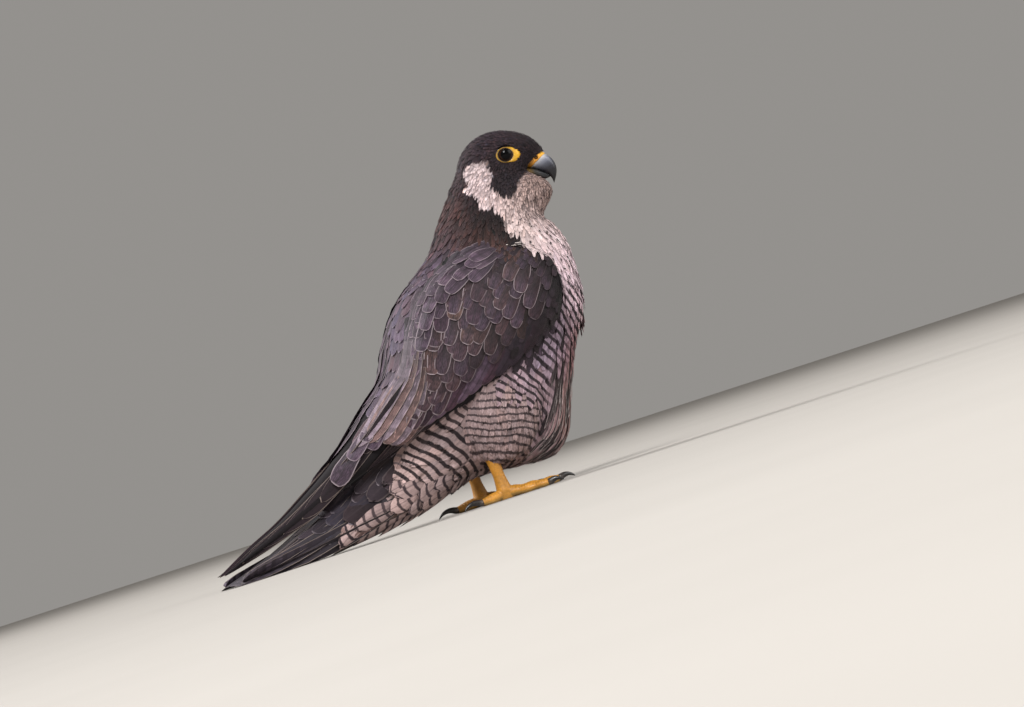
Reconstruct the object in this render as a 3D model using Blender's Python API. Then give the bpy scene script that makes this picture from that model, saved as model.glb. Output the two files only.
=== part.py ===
# Peregrine falcon, adult female, life size, standing with folded wings and its head turned to its right.
# The bird faces +X, its left side is +Y, and the floor it stands on is the plane z = 0.
# Every size is in millimetres and is turned to metres where a mesh is made.
import math

import bmesh
import bpy
from mathutils import Matrix, Vector

MM = 0.001
GAP = 0.32  # clearance between neighbouring solids
HEAD_TURN = -22.0  # degrees, towards the bird's right
TURN_PIVOT_X = 58.0  # the head turns about the vertical line through here
LEFT, RIGHT = 1, -1

# Each body ring is one station: its back point and belly point (x, z) in the median plane, its
# half-width, and how squarely its sides run. They follow the outline of the coat, not of the bones.
CHIN_STATIONS = [
    dict(back=(113.0, 238.0), belly=(116.3, 229.5), half=5.0, square=2.0),
    dict(back=(108.5, 244.0), belly=(116.8, 223.5), half=11.0, square=2.0),
    dict(back=(99.0, 249.0), belly=(113.0, 218.0), half=16.5, square=2.1),
    dict(back=(85.0, 255.0), belly=(108.0, 213.0), half=21.5, square=2.2),
    dict(back=(68.0, 262.0), belly=(104.5, 209.5), half=25.5, square=2.2),
    dict(back=(52.5, 265.0), belly=(103.5, 206.5), half=28.5, square=2.2),
    dict(back=(40.5, 254.0), belly=(104.5, 203.5), half=31.5, square=2.1),
]
NECK_STATIONS = [
    dict(back=(29.5, 240.8), belly=(109.0, 200.5), half=35.0, square=2.1),
    dict(back=(16.0, 223.0), belly=(113.5, 191.5), half=40.0, square=2.1),
    dict(back=(4.0, 206.0), belly=(116.5, 179.5), half=45.5, square=2.1),
]
TRUNK_STATIONS = [
    dict(back=(-12.5, 194.3), belly=(118.0, 166.0), half=50.0, square=2.1),
    dict(back=(-31.5, 179.3), belly=(116.5, 146.0), half=53.0, square=2.2),
    dict(back=(-46.5, 160.5), belly=(113.0, 125.5), half=53.5, square=2.2),
    dict(back=(-54.5, 140.0), belly=(98.8, 104.5), half=52.0, square=2.2),
    dict(back=(-64.0, 122.0), belly=(89.0, 83.0), half=48.0, square=2.2),
    dict(back=(-76.5, 104.5), belly=(79.5, 60.0), half=43.0, square=2.2),
    dict(back=(-88.0, 89.5), belly=(71.0, 37.0), half=37.5, square=2.2),
    dict(back=(-98.5, 76.5), belly=(53.5, 20.5), half=32.0, square=2.1),
    dict(back=(-108.0, 66.5), belly=(20.0, 21.0), half=28.0, square=2.1),
]
TAIL_STATIONS = [
    dict(back=(-116.0, 59.5), belly=(-18.0, 24.0), half=26.0, square=2.1),
    dict(back=(-128.0, 50.5), belly=(-46.0, 15.5), half=25.0, square=2.2),
    dict(back=(-148.0, 39.0), belly=(-80.0, 7.5), half=24.5, square=2.4),
    dict(back=(-172.0, 27.5), belly=(-120.0, 3.2), half=25.0, square=2.6),
    dict(back=(-198.0, 17.0), belly=(-162.0, 0.8), half=27.0, square=2.8),
    dict(back=(-220.0, 9.5), belly=(-200.0, -0.6), half=28.5, square=3.0),
    dict(back=(-234.0, 5.0), belly=(-226.0, -0.6), half=29.0, square=3.0),
    dict(back=(-241.0, 2.6), belly=(-239.0, -0.6), half=25.0, square=3.0),
]
BODY_SEGMENTS = 20
RINGS_PER_STATION = 2

# The cranium, from the edge of the cere to the nape, joined to the throat and chin above.
CRANIUM_STATIONS = [
    dict(back=(122.3, 254.6), belly=(102.6, 246.2), half=9.0, square=2.2),
    dict(back=(118.8, 261.0), belly=(98.0, 243.0), half=12.2, square=2.2),
    dict(back=(114.2, 269.3), belly=(93.5, 238.0), half=16.0, square=2.3),
    dict(back=(105.0, 277.3), belly=(88.5, 232.5), half=19.5, square=2.4),
    dict(back=(92.5, 283.2), belly=(81.0, 229.0), half=22.0, square=2.4),
    dict(back=(78.5, 285.0), belly=(73.0, 229.0), half=24.5, square=2.4),
    dict(back=(65.0, 281.5), belly=(65.0, 231.5), half=25.8, square=2.3),
    dict(back=(53.2, 272.3), belly=(57.5, 237.0), half=24.0, square=2.2),
    dict(back=(46.5, 260.5), belly=(52.0, 243.0), half=15.0, square=2.1),
]
CRANIUM_SEGMENTS = 16
# The face is hollowed for the bill between two planes that meet at the gape.
GAPE = (101.7, 247.9)
FACE_NOTCH = [GAPE, (134.3, 261.5), (122.6, 224.1)]
NOTCH_HALF_WIDTH = 34.0

# Where the body is parted: two points (x, z) on each cut's plane.
HEAD_NECK_CUT = ((35.4, 247.4), (105.5, 201.5))
NECK_TRUNK_CUT = ((-5.5, 200.4), (115.4, 172.0))
TRUNK_TAIL_CUT = ((-112.0, 63.0), (1.0, 23.3))

# A folded wing's rings, wrist to tip: upper edge, lower edge, how far out its middle lies, and its
# half-thickness. The body is cut from it afterwards, so that it becomes a shell that lies on the body.
WING_STATIONS = [
    dict(back=(84.5, 169.5), belly=(86.5, 155.0), out=47.0, half=6.0, square=2.0),
    dict(back=(78.6, 180.5), belly=(84.5, 139.6), out=44.5, half=13.0, square=2.1),
    dict(back=(61.0, 191.0), belly=(74.0, 123.0), out=41.5, half=19.5, square=2.2),
    dict(back=(37.2, 196.0), belly=(51.5, 107.0), out=37.0, half=25.0, square=2.2),
    dict(back=(10.6, 194.5), belly=(24.0, 92.5), out=33.0, half=29.0, square=2.3),
    dict(back=(-13.8, 185.5), belly=(-2.0, 84.5), out=30.5, half=30.5, square=2.4),
    dict(back=(-34.0, 167.0), belly=(-26.1, 77.0), out=28.5, half=30.0, square=2.4),
    dict(back=(-48.0, 145.0), belly=(-47.2, 71.5), out=26.5, half=27.5, square=2.4),
    dict(back=(-59.5, 123.0), belly=(-67.0, 68.0), out=24.0, half=24.0, square=2.3),
    dict(back=(-81.0, 105.5), belly=(-87.0, 60.5), out=21.5, half=20.5, square=2.2),
    dict(back=(-103.0, 87.0), belly=(-108.0, 53.5), out=19.5, half=17.0, square=2.2),
    dict(back=(-129.0, 68.5), belly=(-132.0, 45.5), out=17.0, half=13.5, square=2.2),
    dict(back=(-157.0, 52.5), belly=(-158.0, 36.0), out=15.0, half=10.5, square=2.2),
    dict(back=(-185.0, 38.0), belly=(-185.0, 27.0), out=13.0, half=7.5, square=2.2),
    dict(back=(-216.0, 25.5), belly=(-214.5, 18.0), out=11.5, half=4.5, square=2.2),
    dict(back=(-245.0, 12.5), belly=(-244.0, 10.3), out=10.0, half=1.5, square=2.0),
]
WING_SEGMENTS = 16
WING_MIDLINE = 0.8  # the wings keep this far from the median plane

# A feathered thigh hangs beside the belly, from inside the trunk to the ankle.
THIGH_OUT = 29.0
THIGH_STATIONS = [
    dict(back=(-6.0, 110.0), belly=(54.0, 95.0), out=THIGH_OUT - 3.0, half=15.0, square=2.1),
    dict(back=(-18.0, 89.5), belly=(49.0, 75.5), out=THIGH_OUT, half=20.5, square=2.2),
    dict(back=(-28.5, 67.0), belly=(40.5, 55.5), out=THIGH_OUT + 0.5, half=21.5, square=2.2),
    dict(back=(-25.0, 49.0), belly=(32.0, 42.0), out=THIGH_OUT, half=18.5, square=2.1),
    dict(back=(-18.0, 37.0), belly=(21.5, 32.5), out=THIGH_OUT, half=12.5, square=2.0),
    dict(back=(-12.0, 29.0), belly=(3.5, 27.5), out=THIGH_OUT, half=7.0, square=2.0),
]
THIGH_SEGMENTS = 16

# Legs: bare tarsus and toes. Toe angles are from straight ahead, outwards from the body.
ANKLE = (-10.0, 38.0)  # x, z of the tarsus top, inside the thigh's coat
FOOT = (-8.0, 7.2)  # x, z of the tarsus foot, where the toes meet
TARSUS_RADIUS = 4.9
TARSUS_SHAPE = [(0.0, 1.25), (0.3, 1.05), (0.6, 0.95), (0.85, 1.15), (1.0, 1.35)]  # way down, width
TARSUS_SOLE = 1.2  # width where it meets the floor
TARSUS_SEGMENTS = 10
TOES = [
    dict(number=1, angle=174.0, length=23.0, radius=4.3, pads=1, claw=17.0),
    dict(number=2, angle=-32.0, length=34.0, radius=4.3, pads=2, claw=15.0),
    dict(number=3, angle=0.0, length=48.0, radius=4.2, pads=3, claw=13.5),
    dict(number=4, angle=33.0, length=38.0, radius=3.8, pads=3, claw=11.5),
]
TOE_SEGMENTS = 8
TOE_RINGS = 8
TOE_TAPER = 0.30  # how much thinner a toe is at its end
PAD_SWELL = 0.12  # how much its pads stand out
TOE_FALL = 3  # how soon a toe comes down to the floor, as a power
SOLE = 0.72  # height of a toe's middle above the floor, in toe radii
CLAW_SEGMENTS = 6
CLAW_RINGS = 6
CLAW_BASE = 2.6  # radius where a claw leaves its toe
CLAW_TIP = 0.28  # radius at its point
CLAW_SWEEP = 78.0  # degrees that a claw curves down through
CLAW_RISE = 0.38  # how much of the sweep comes before the claw's highest point
CLAW_TAPER = 0.8  # how soon it thins, as a power

# Bill rings: culmen point, cutting edge, half-width.
BILL_STATIONS = [
    dict(back=(111.8, 260.0), belly=(99.5, 250.2), half=8.6, square=2.2),
    dict(back=(116.1, 257.6), belly=(103.6, 247.6), half=8.4, square=2.2),
    dict(back=(120.0, 254.3), belly=(107.4, 245.6), half=7.7, square=2.2),
    dict(back=(123.3, 250.2), belly=(111.2, 243.0), half=6.6, square=2.2),
    dict(back=(125.2, 245.0), belly=(114.6, 240.0), half=5.2, square=2.1),
    dict(back=(125.2, 239.8), belly=(117.4, 237.2), half=3.7, square=2.0),
    dict(back=(123.4, 234.9), belly=(119.3, 233.4), half=2.2, square=2.0),
    dict(back=(120.5, 230.2), belly=(119.6, 230.6), half=0.5, square=2.0),
]
CERE_CUT = ((120.9, 253.4), (107.2, 246.0))
JAW_STATIONS = [
    dict(back=(98.5, 250.5), belly=(100.5, 242.6), half=7.8, square=2.2),
    dict(back=(103.6, 248.2), belly=(104.4, 240.7), half=7.1, square=2.2),
    dict(back=(108.2, 246.0), belly=(109.0, 237.6), half=6.0, square=2.2),
    dict(back=(112.4, 243.0), belly=(113.2, 235.0), half=4.4, square=2.2),
    dict(back=(115.6, 239.6), belly=(116.4, 235.3), half=2.6, square=2.0),
]
BILL_SEGMENTS = 12

EYE_AT = (89.5, 262.5)  # x, z in the head's own plane
EYE_OUT = 16.0  # how far from the median plane an eye's centre lies
EYE_RADIUS = 7.2
EYE_SEGMENTS = (14, 8)  # round its axis, and along it


def clear_scene():
    for obj in list(bpy.data.objects):
        bpy.data.objects.remove(obj)


def paint(name, colour, roughness):
    material = bpy.data.materials.new(name)
    material.use_nodes = True
    shader = material.node_tree.nodes["Principled BSDF"]
    shader.inputs["Base Color"].default_value = (*colour, 1.0)
    shader.inputs["Roughness"].default_value = roughness
    shader.inputs["Metallic"].default_value = 0.0
    return material


def blend(before, a, b, after, t):
    """A smooth curve through a and b, which its neighbours bend."""
    return 0.5 * (
        2 * a + (b - before) * t + (2 * before - 5 * a + 4 * b - after) * t**2
        + (3 * a - before - 3 * b + after) * t**3
    )


def along(stations, t):
    """The station at t, which runs from 0 to the number of spans."""
    last = len(stations) - 1
    i = min(int(t), last - 1)
    near = [stations[max(0, min(last, k))] for k in (i - 1, i, i + 1, i + 2)]
    f = t - i

    def value(read):
        return blend(*(read(s) for s in near), f)

    return dict(
        back=Vector((value(lambda s: s["back"][0]), value(lambda s: s["back"][1]))),
        belly=Vector((value(lambda s: s["belly"][0]), value(lambda s: s["belly"][1]))),
        half=value(lambda s: s["half"]),
        square=value(lambda s: s["square"]),
        out=value(lambda s: s.get("out", 0.0)),
        turn=value(lambda s: s.get("turn", 0.0)),
    )


def ring_points(station, segments, side):
    """One closed ring: a superellipse in the plane that holds the back-belly line and the Y axis."""
    middle = (station["back"] + station["belly"]) / 2
    reach = (station["back"] - station["belly"]) / 2
    power = 2.0 / station["square"]
    points = []
    for k in range(segments):
        angle = 2 * math.pi * k / segments
        c, s = math.cos(angle), math.sin(angle)
        up = math.copysign(abs(c) ** power, c)
        across = math.copysign(abs(s) ** power, s)
        x, z = middle + reach * up
        y = side * station["out"] + station["half"] * across
        points.append(turned(Vector((x, y, z)), station["turn"]))
    return points


def turned(point, degrees):
    pivot = Vector((TURN_PIVOT_X, 0.0, 0.0))
    return pivot + Matrix.Rotation(math.radians(degrees), 3, "Z") @ (point - pivot)


def turned_axis(degrees):
    """The bird's sideways axis, turned by so much."""
    return Matrix.Rotation(math.radians(degrees), 3, "Z") @ Vector((0.0, 1.0, 0.0))


def face_out(mesh):
    """Turns every face outwards, also where rings fold over each other."""
    bmesh.ops.recalc_face_normals(mesh, faces=mesh.faces)
    if mesh.calc_volume(signed=True) < 0:
        bmesh.ops.reverse_faces(mesh, faces=mesh.faces)
    return mesh


def tube(rings):
    """A closed bmesh through rings of points, in metres."""
    mesh = bmesh.new()
    rows = [[mesh.verts.new(point * MM) for point in ring] for ring in rings]
    count = len(rows[0])
    for lower, upper in zip(rows, rows[1:]):
        for k in range(count):
            j = (k + 1) % count
            mesh.faces.new((lower[k], lower[j], upper[j], upper[k]))
    mesh.faces.new(rows[0])
    mesh.faces.new(rows[-1])
    bmesh.ops.triangulate(mesh, faces=mesh.faces)
    return face_out(mesh)


def loft(stations, segments, side=0, rings_per_station=RINGS_PER_STATION, inner_limit=None):
    spans = len(stations) - 1
    rings = []
    for i in range(spans * rings_per_station + 1):
        ring = ring_points(along(stations, i / rings_per_station), segments, side)
        if inner_limit is not None:
            ring = [Vector((p.x, side * max(side * p.y, inner_limit), p.z)) for p in ring]
        rings.append(ring)
    return tube(rings)


def grown(mesh, by=GAP):
    """The same shape with its surface moved outwards, for a cutter that leaves a clearance."""
    bigger = mesh.copy()
    bigger.normal_update()
    for vertex in bigger.verts:
        vertex.co += vertex.normal * by * MM
    return bigger


def keep_side(mesh, cut, behind, turn=0.0):
    """Keeps the part of mesh behind the cut's plane, or ahead of it, less half the gap, and closes it."""
    (x0, z0), (x1, z1) = cut
    start = turned(Vector((x0, 0.0, z0)), turn)
    normal = (turned(Vector((x1, 0.0, z1)), turn) - start).cross(turned_axis(turn)).normalized()
    inward = -1 if behind else 1
    result = bmesh.ops.bisect_plane(
        mesh, geom=mesh.verts[:] + mesh.edges[:] + mesh.faces[:],
        plane_co=(start + normal * inward * GAP / 2) * MM, plane_no=normal,
        clear_outer=behind, clear_inner=not behind, dist=1e-7,
    )
    edges = [e for e in result["geom_cut"] if isinstance(e, bmesh.types.BMEdge)]
    bmesh.ops.edgeloop_fill(mesh, edges=edges)
    return face_out(mesh)


def prism(corners, half_width, turn):
    """An upright slice with these corners (x, z), as wide as this to each side of the median plane."""
    mesh = bmesh.new()
    sides = [
        [mesh.verts.new(turned(Vector((x, y, z)), turn) * MM) for x, z in corners]
        for y in (-half_width, half_width)
    ]
    mesh.faces.new(sides[0])
    mesh.faces.new(sides[1])
    for k in range(len(corners)):
        j = (k + 1) % len(corners)
        mesh.faces.new((sides[0][k], sides[0][j], sides[1][j], sides[1][k]))
    return face_out(mesh)


def add(name, mesh, material, smooth_angle=50.0):
    data = bpy.data.meshes.new(name)
    mesh.to_mesh(data)
    mesh.free()
    data.materials.append(material)
    data.shade_smooth()
    data.set_sharp_from_angle(angle=math.radians(smooth_angle))
    obj = bpy.data.objects.new(name, data)
    bpy.context.scene.collection.objects.link(obj)
    return obj


def helper(name, mesh):
    """A cutter or a piece to be joined: it is no part of the model itself."""
    data = bpy.data.meshes.new(name)
    mesh.to_mesh(data)
    mesh.free()
    obj = bpy.data.objects.new(name, data)
    obj.hide_render = True
    obj.display_type = "WIRE"
    bpy.context.scene.collection.objects.link(obj)
    return obj


def boolean(obj, other, operation):
    modifier = obj.modifiers.new(f"{operation.lower()} {other.name}", "BOOLEAN")
    modifier.object = other
    modifier.operation = operation
    modifier.solver = "EXACT"


def ball(centre, radius):
    mesh = bmesh.new()
    round_axis, along_axis = EYE_SEGMENTS
    bmesh.ops.create_uvsphere(mesh, u_segments=round_axis, v_segments=along_axis, radius=radius * MM)
    bmesh.ops.rotate(mesh, verts=mesh.verts, matrix=Matrix.Rotation(math.pi / 2, 3, "X"))
    bmesh.ops.translate(mesh, verts=mesh.verts, vec=centre * MM)
    return mesh


def body_stations():
    """The body from the chin to the tail's tip, with the head's turn fading down the neck."""
    stations = [dict(s, turn=HEAD_TURN) for s in CHIN_STATIONS]
    for i, s in enumerate(NECK_STATIONS):
        fade = 1 - (i + 1) / (len(NECK_STATIONS) + 1)
        stations.append(dict(s, turn=HEAD_TURN * fade))
    return stations + TRUNK_STATIONS + TAIL_STATIONS


def head_loft(stations, segments, rings_per_station=RINGS_PER_STATION):
    return loft([dict(s, turn=HEAD_TURN) for s in stations], segments, 0, rings_per_station)


def flatten_underside(mesh):
    """Nothing reaches below the floor: what would is laid flat on it."""
    for vertex in mesh.verts:
        vertex.co.z = max(vertex.co.z, 0.0)
    return mesh


def round_tube(path, radii, segments, leaving=None):
    """A tube of round rings along a path in one upright plane; its first ring may face another way."""
    rings = []
    for i, point in enumerate(path):
        ahead = path[min(i + 1, len(path) - 1)] - path[max(i - 1, 0)]
        if leaving and i == 0:
            ahead = leaving
        across = Vector((-ahead.y, ahead.x, 0.0))
        if across.length < 1e-6:
            across = Vector((0.0, 1.0, 0.0))
        across.normalize()
        up = across.cross(ahead).normalized()
        ring = []
        for k in range(segments):
            angle = 2 * math.pi * (k + 0.5) / segments
            ring.append(point + (across * math.sin(angle) + up * math.cos(angle)) * radii[i])
        rings.append(ring)
    return tube(rings)


def toe_direction(toe, side):
    angle = math.radians(toe["angle"])
    return Vector((math.cos(angle), side * math.sin(angle), 0.0))


def foot_point(side):
    return Vector((FOOT[0], side * THIGH_OUT, FOOT[1]))


def toe_mesh(toe, side):
    """A toe that runs out from the foot along the floor, with a swelling for each pad."""
    root = foot_point(side)
    path, radii = [], []
    for i in range(TOE_RINGS):
        t = i / (TOE_RINGS - 1)
        point = root + toe_direction(toe, side) * toe["length"] * t
        point.z = toe["radius"] * SOLE + (FOOT[1] - toe["radius"]) * (1 - t) ** TOE_FALL
        swelling = PAD_SWELL * math.cos(2 * math.pi * toe["pads"] * t + math.pi)
        path.append(point)
        radii.append(toe["radius"] * (1 + swelling) * (1 - TOE_TAPER * t**3))
    return flatten_underside(round_tube(path, radii, TOE_SEGMENTS))


def claw_mesh(toe, side):
    """A claw that leaves the toe level and curves down to the floor."""
    ahead = toe_direction(toe, side)
    start = foot_point(side) + ahead * (toe["length"] + GAP)
    start.z = toe["radius"] * SOLE
    sweep = math.radians(CLAW_SWEEP)
    radius_of_curve = toe["claw"] / sweep
    path, radii = [], []
    for i in range(CLAW_RINGS):
        t = i / (CLAW_RINGS - 1)
        begin = -sweep * CLAW_RISE
        angle = begin + sweep * t
        forward = radius_of_curve * (math.sin(angle) - math.sin(begin))
        rise = radius_of_curve * (math.cos(angle) - math.cos(begin))
        path.append(start + ahead * forward + Vector((0.0, 0.0, rise)))
        radii.append(CLAW_BASE * (1 - t) ** CLAW_TAPER + CLAW_TIP)
    lowest = min(p.z - r for p, r in zip(path, radii))
    if lowest < 0.0:
        path = [p + Vector((0.0, 0.0, -lowest * i / (CLAW_RINGS - 1))) for i, p in enumerate(path)]
    return flatten_underside(round_tube(path, radii, CLAW_SEGMENTS, ahead))


def tarsus_mesh(side):
    top = Vector((ANKLE[0], side * THIGH_OUT, ANKLE[1]))
    foot = foot_point(side)
    path = [top.lerp(foot, t) for t, _ in TARSUS_SHAPE]
    radii = [TARSUS_RADIUS * width for _, width in TARSUS_SHAPE]
    path.append(Vector((foot.x, foot.y, 0.0)))
    radii.append(TARSUS_RADIUS * TARSUS_SOLE)
    return flatten_underside(round_tube(path, radii, TARSUS_SEGMENTS))


def build_head(body, flesh, horn, cere_skin, iris):
    bill = head_loft(BILL_STATIONS, BILL_SEGMENTS, 1)
    jaw = head_loft(JAW_STATIONS, BILL_SEGMENTS, 1)
    bill_room = helper("bill_room", grown(bill))
    head = add("head", keep_side(body.copy(), HEAD_NECK_CUT, False, HEAD_TURN), flesh)
    boolean(head, helper("cranium", head_loft(CRANIUM_STATIONS, CRANIUM_SEGMENTS)), "UNION")
    for side, name in ((LEFT, "left"), (RIGHT, "right")):
        centre = turned(Vector((EYE_AT[0], side * EYE_OUT, EYE_AT[1])), HEAD_TURN)
        boolean(head, helper(f"eye_room_{name}", ball(centre, EYE_RADIUS + GAP)), "DIFFERENCE")
        add(f"eye_{name}", ball(centre, EYE_RADIUS), iris)
    boolean(head, helper("jaw_room", grown(jaw)), "DIFFERENCE")
    boolean(head, bill_room, "DIFFERENCE")
    boolean(head, helper("face_notch", prism(FACE_NOTCH, NOTCH_HALF_WIDTH, HEAD_TURN)), "DIFFERENCE")
    add("cere", keep_side(bill.copy(), CERE_CUT, True, HEAD_TURN), cere_skin)
    add("bill_upper", keep_side(bill, CERE_CUT, False, HEAD_TURN), horn)
    boolean(add("bill_lower", jaw, horn), bill_room, "DIFFERENCE")


def build_leg(side, name, thigh_room, yellow_skin, claw_horn):
    leg = add(f"leg_{name}", tarsus_mesh(side), yellow_skin)
    for toe in TOES:
        boolean(leg, helper(f"toe_{toe['number']}_{name}_shape", toe_mesh(toe, side)), "UNION")
        add(f"claw_{toe['number']}_{name}", claw_mesh(toe, side), claw_horn)
    boolean(leg, thigh_room, "DIFFERENCE")


def centre_over_origin():
    """Moves everything level, so that the model's bounding box is centred on the vertical axis."""
    bpy.context.view_layer.update()
    graph = bpy.context.evaluated_depsgraph_get()
    corners = [
        Vector(corner) for obj in bpy.data.objects if not obj.hide_render
        for corner in obj.evaluated_get(graph).bound_box
    ]
    middle = [(min(c[k] for c in corners) + max(c[k] for c in corners)) / 2 for k in (0, 1)]
    for obj in bpy.data.objects:
        obj.data.transform(Matrix.Translation((-middle[0], -middle[1], 0.0)))


def build():
    clear_scene()
    flesh = paint("pale_plumage", (0.62, 0.56, 0.52), 0.85)
    slate = paint("slate_plumage", (0.13, 0.13, 0.16), 0.75)
    horn = paint("bill_horn", (0.16, 0.18, 0.22), 0.35)
    cere_skin = paint("yellow_cere", (0.80, 0.52, 0.06), 0.45)
    yellow_skin = paint("yellow_scutes", (0.78, 0.45, 0.05), 0.50)
    claw_horn = paint("black_claw", (0.02, 0.02, 0.02), 0.30)
    iris = paint("dark_iris", (0.02, 0.012, 0.008), 0.08)

    body = flatten_underside(loft(body_stations(), BODY_SEGMENTS))
    build_head(body, flesh, horn, cere_skin, iris)
    neck = keep_side(body.copy(), HEAD_NECK_CUT, True, HEAD_TURN)
    add("neck", keep_side(neck, NECK_TRUNK_CUT, False), flesh)
    trunk = keep_side(body.copy(), NECK_TRUNK_CUT, True)
    add("trunk", keep_side(trunk, TRUNK_TAIL_CUT, False), flesh)
    add("tail", keep_side(body.copy(), TRUNK_TAIL_CUT, True), slate)
    body_room = helper("body_room", grown(body))
    body.free()

    for side, name in ((LEFT, "left"), (RIGHT, "right")):
        thigh = loft(THIGH_STATIONS, THIGH_SEGMENTS, side)
        thigh_room = helper(f"thigh_room_{name}", grown(thigh))
        boolean(add(f"thigh_{name}", thigh, flesh), body_room, "DIFFERENCE")
        wing = loft(WING_STATIONS, WING_SEGMENTS, side, inner_limit=WING_MIDLINE)
        wing_object = add(f"wing_{name}", wing, slate)
        boolean(wing_object, body_room, "DIFFERENCE")
        boolean(wing_object, thigh_room, "DIFFERENCE")
        build_leg(side, name, thigh_room, yellow_skin, claw_horn)
    centre_over_origin()


build()
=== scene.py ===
# Peregrine falcon, adult female, life size: skin, plumage, bill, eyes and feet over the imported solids.
# Lengths are mm in the bird's own frame: x forward, y to its left, z up from the floor.
import math

import bmesh
import bpy
import numpy as np
from mathutils import Matrix, Vector
from mathutils.bvhtree import BVHTree


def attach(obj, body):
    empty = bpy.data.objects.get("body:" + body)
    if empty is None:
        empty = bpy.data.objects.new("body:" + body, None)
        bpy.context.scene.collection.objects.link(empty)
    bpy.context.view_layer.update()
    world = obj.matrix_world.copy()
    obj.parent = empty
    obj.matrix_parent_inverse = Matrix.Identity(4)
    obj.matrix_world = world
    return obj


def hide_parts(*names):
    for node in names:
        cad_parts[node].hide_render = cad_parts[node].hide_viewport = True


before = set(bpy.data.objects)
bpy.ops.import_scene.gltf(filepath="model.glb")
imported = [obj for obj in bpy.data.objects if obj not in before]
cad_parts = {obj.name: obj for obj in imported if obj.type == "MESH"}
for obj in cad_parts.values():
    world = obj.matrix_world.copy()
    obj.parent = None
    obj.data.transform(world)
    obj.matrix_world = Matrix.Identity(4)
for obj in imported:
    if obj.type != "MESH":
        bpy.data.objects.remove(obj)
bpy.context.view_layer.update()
rng = np.random.default_rng(11)

mm = 0.001
sides = {"left": 1, "right": -1}
shiftForward = 62.1  # the bird's own frame starts this far back of the origin
# the head's turn in degrees about an upright axis; the neck takes it up between two cuts seen from the side
headPose = {"turn": -22.0, "pivot": 58.0, "topCut": ((35.4, 247.4), (105.5, 201.5)),
            "lowCut": ((-5.5, 200.4), (115.4, 172.0))}


def tone(code):
    channels = [int(code[i:i + 2], 16) / 255 for i in (0, 2, 4)]
    return tuple(c / 12.92 if c <= 0.04045 else ((c + 0.055) / 1.055) ** 2.4 for c in channels)


def ramp(low, high, value):
    t = np.clip((value - low) / (high - low), 0, 1)
    return t * t * (3 - 2 * t)


def unit(vectors):
    return vectors / np.maximum(np.linalg.norm(vectors, axis=-1, keepdims=True), 1e-9)


def pastLine(points, line):
    # distance behind a line seen from the side, in mm
    (x0, z0), (x1, z1) = line
    length = math.hypot(x1 - x0, z1 - z0)
    return ((points[:, 0] - x0) * (z1 - z0) - (points[:, 2] - z0) * (x1 - x0)) / length


def turnShare(points):
    above = pastLine(points, headPose["lowCut"])
    below = pastLine(points, headPose["topCut"])
    share = -above / np.maximum(below - above, 1e-6)
    return np.where(above >= 0, 0.0, np.where(below <= 0, 1.0, np.clip(share, 0, 1)))


def spin(points, degrees):
    # about the upright axis that the head turns on
    a = np.radians(degrees)
    x = points[:, 0] - headPose["pivot"]
    y = points[:, 1]
    return np.stack([headPose["pivot"] + x * np.cos(a) - y * np.sin(a),
                     x * np.sin(a) + y * np.cos(a), points[:, 2]], 1)


def straightened(points):
    return spin(points, -headPose["turn"] * turnShare(points))


def toHead(points):
    shape = np.shape(points)
    return spin(np.reshape(points, (-1, 3)), headPose["turn"]).reshape(shape)


def addNode(tree, kind, inputs=None, **settings):
    node = tree.nodes.new("ShaderNode" + kind)
    for name, value in settings.items():
        setattr(node, name, value)
    for name, value in (inputs or {}).items():
        if isinstance(value, bpy.types.NodeSocket):
            tree.links.new(value, node.inputs[name])
        else:
            node.inputs[name].default_value = value
    return node


def newMaterial(name, roughness, **shaderValues):
    material = bpy.data.materials.new(name)
    material.use_nodes = True
    shader = material.node_tree.nodes["Principled BSDF"]
    shader.inputs["Roughness"].default_value = roughness
    for key, value in shaderValues.items():
        shader.inputs[key.replace("_", " ")].default_value = value
    return material, material.node_tree, shader


def toMetres(points):
    # from the bird's own frame in mm to the part's frame
    return (np.asarray(points, float) + (shiftForward, 0, 0)) * mm


def paint(mesh, key, colours):
    # a colour for each point, under a name that the materials read
    layer = mesh.attributes.new(key, "FLOAT_COLOR", "POINT")
    layer.data.foreach_set("color", np.concatenate([colours, np.ones((len(colours), 1))], 1).ravel())


def fillMesh(name, points, faces, uvMaps=None, colours=None, numbers=None):
    # faces all have the same number of corners
    mesh = bpy.data.meshes.new(name)
    mesh.vertices.add(len(points))
    mesh.vertices.foreach_set("co", toMetres(points).ravel())
    mesh.loops.add(faces.size)
    mesh.loops.foreach_set("vertex_index", faces.ravel())
    mesh.polygons.add(len(faces))
    mesh.polygons.foreach_set("loop_start", np.arange(0, faces.size, faces.shape[1]))
    mesh.update(calc_edges=True)
    mesh.shade_smooth()
    for key, values in (uvMaps or {}).items():
        layer = mesh.uv_layers.new(name=key)
        layer.data.foreach_set("uv", values[faces.ravel()].ravel())
    for key, values in (colours or {}).items():
        paint(mesh, key, values)
    for key, values in (numbers or {}).items():
        layer = mesh.attributes.new(key, "FLOAT", "POINT")
        layer.data.foreach_set("value", values.ravel())
    return mesh


def movePoints(mesh, points):
    mesh.vertices.foreach_set("co", toMetres(points).ravel())
    mesh.update()
    mesh.shade_smooth()


def addPiece(name, mesh, material, slot, *nodes):
    piece = bpy.data.objects.new(name, mesh)
    bpy.context.scene.collection.objects.link(piece)
    mesh.materials.clear()
    mesh.materials.append(material)
    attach(piece, "root")
    if nodes:
        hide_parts(*nodes)
    return piece


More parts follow.
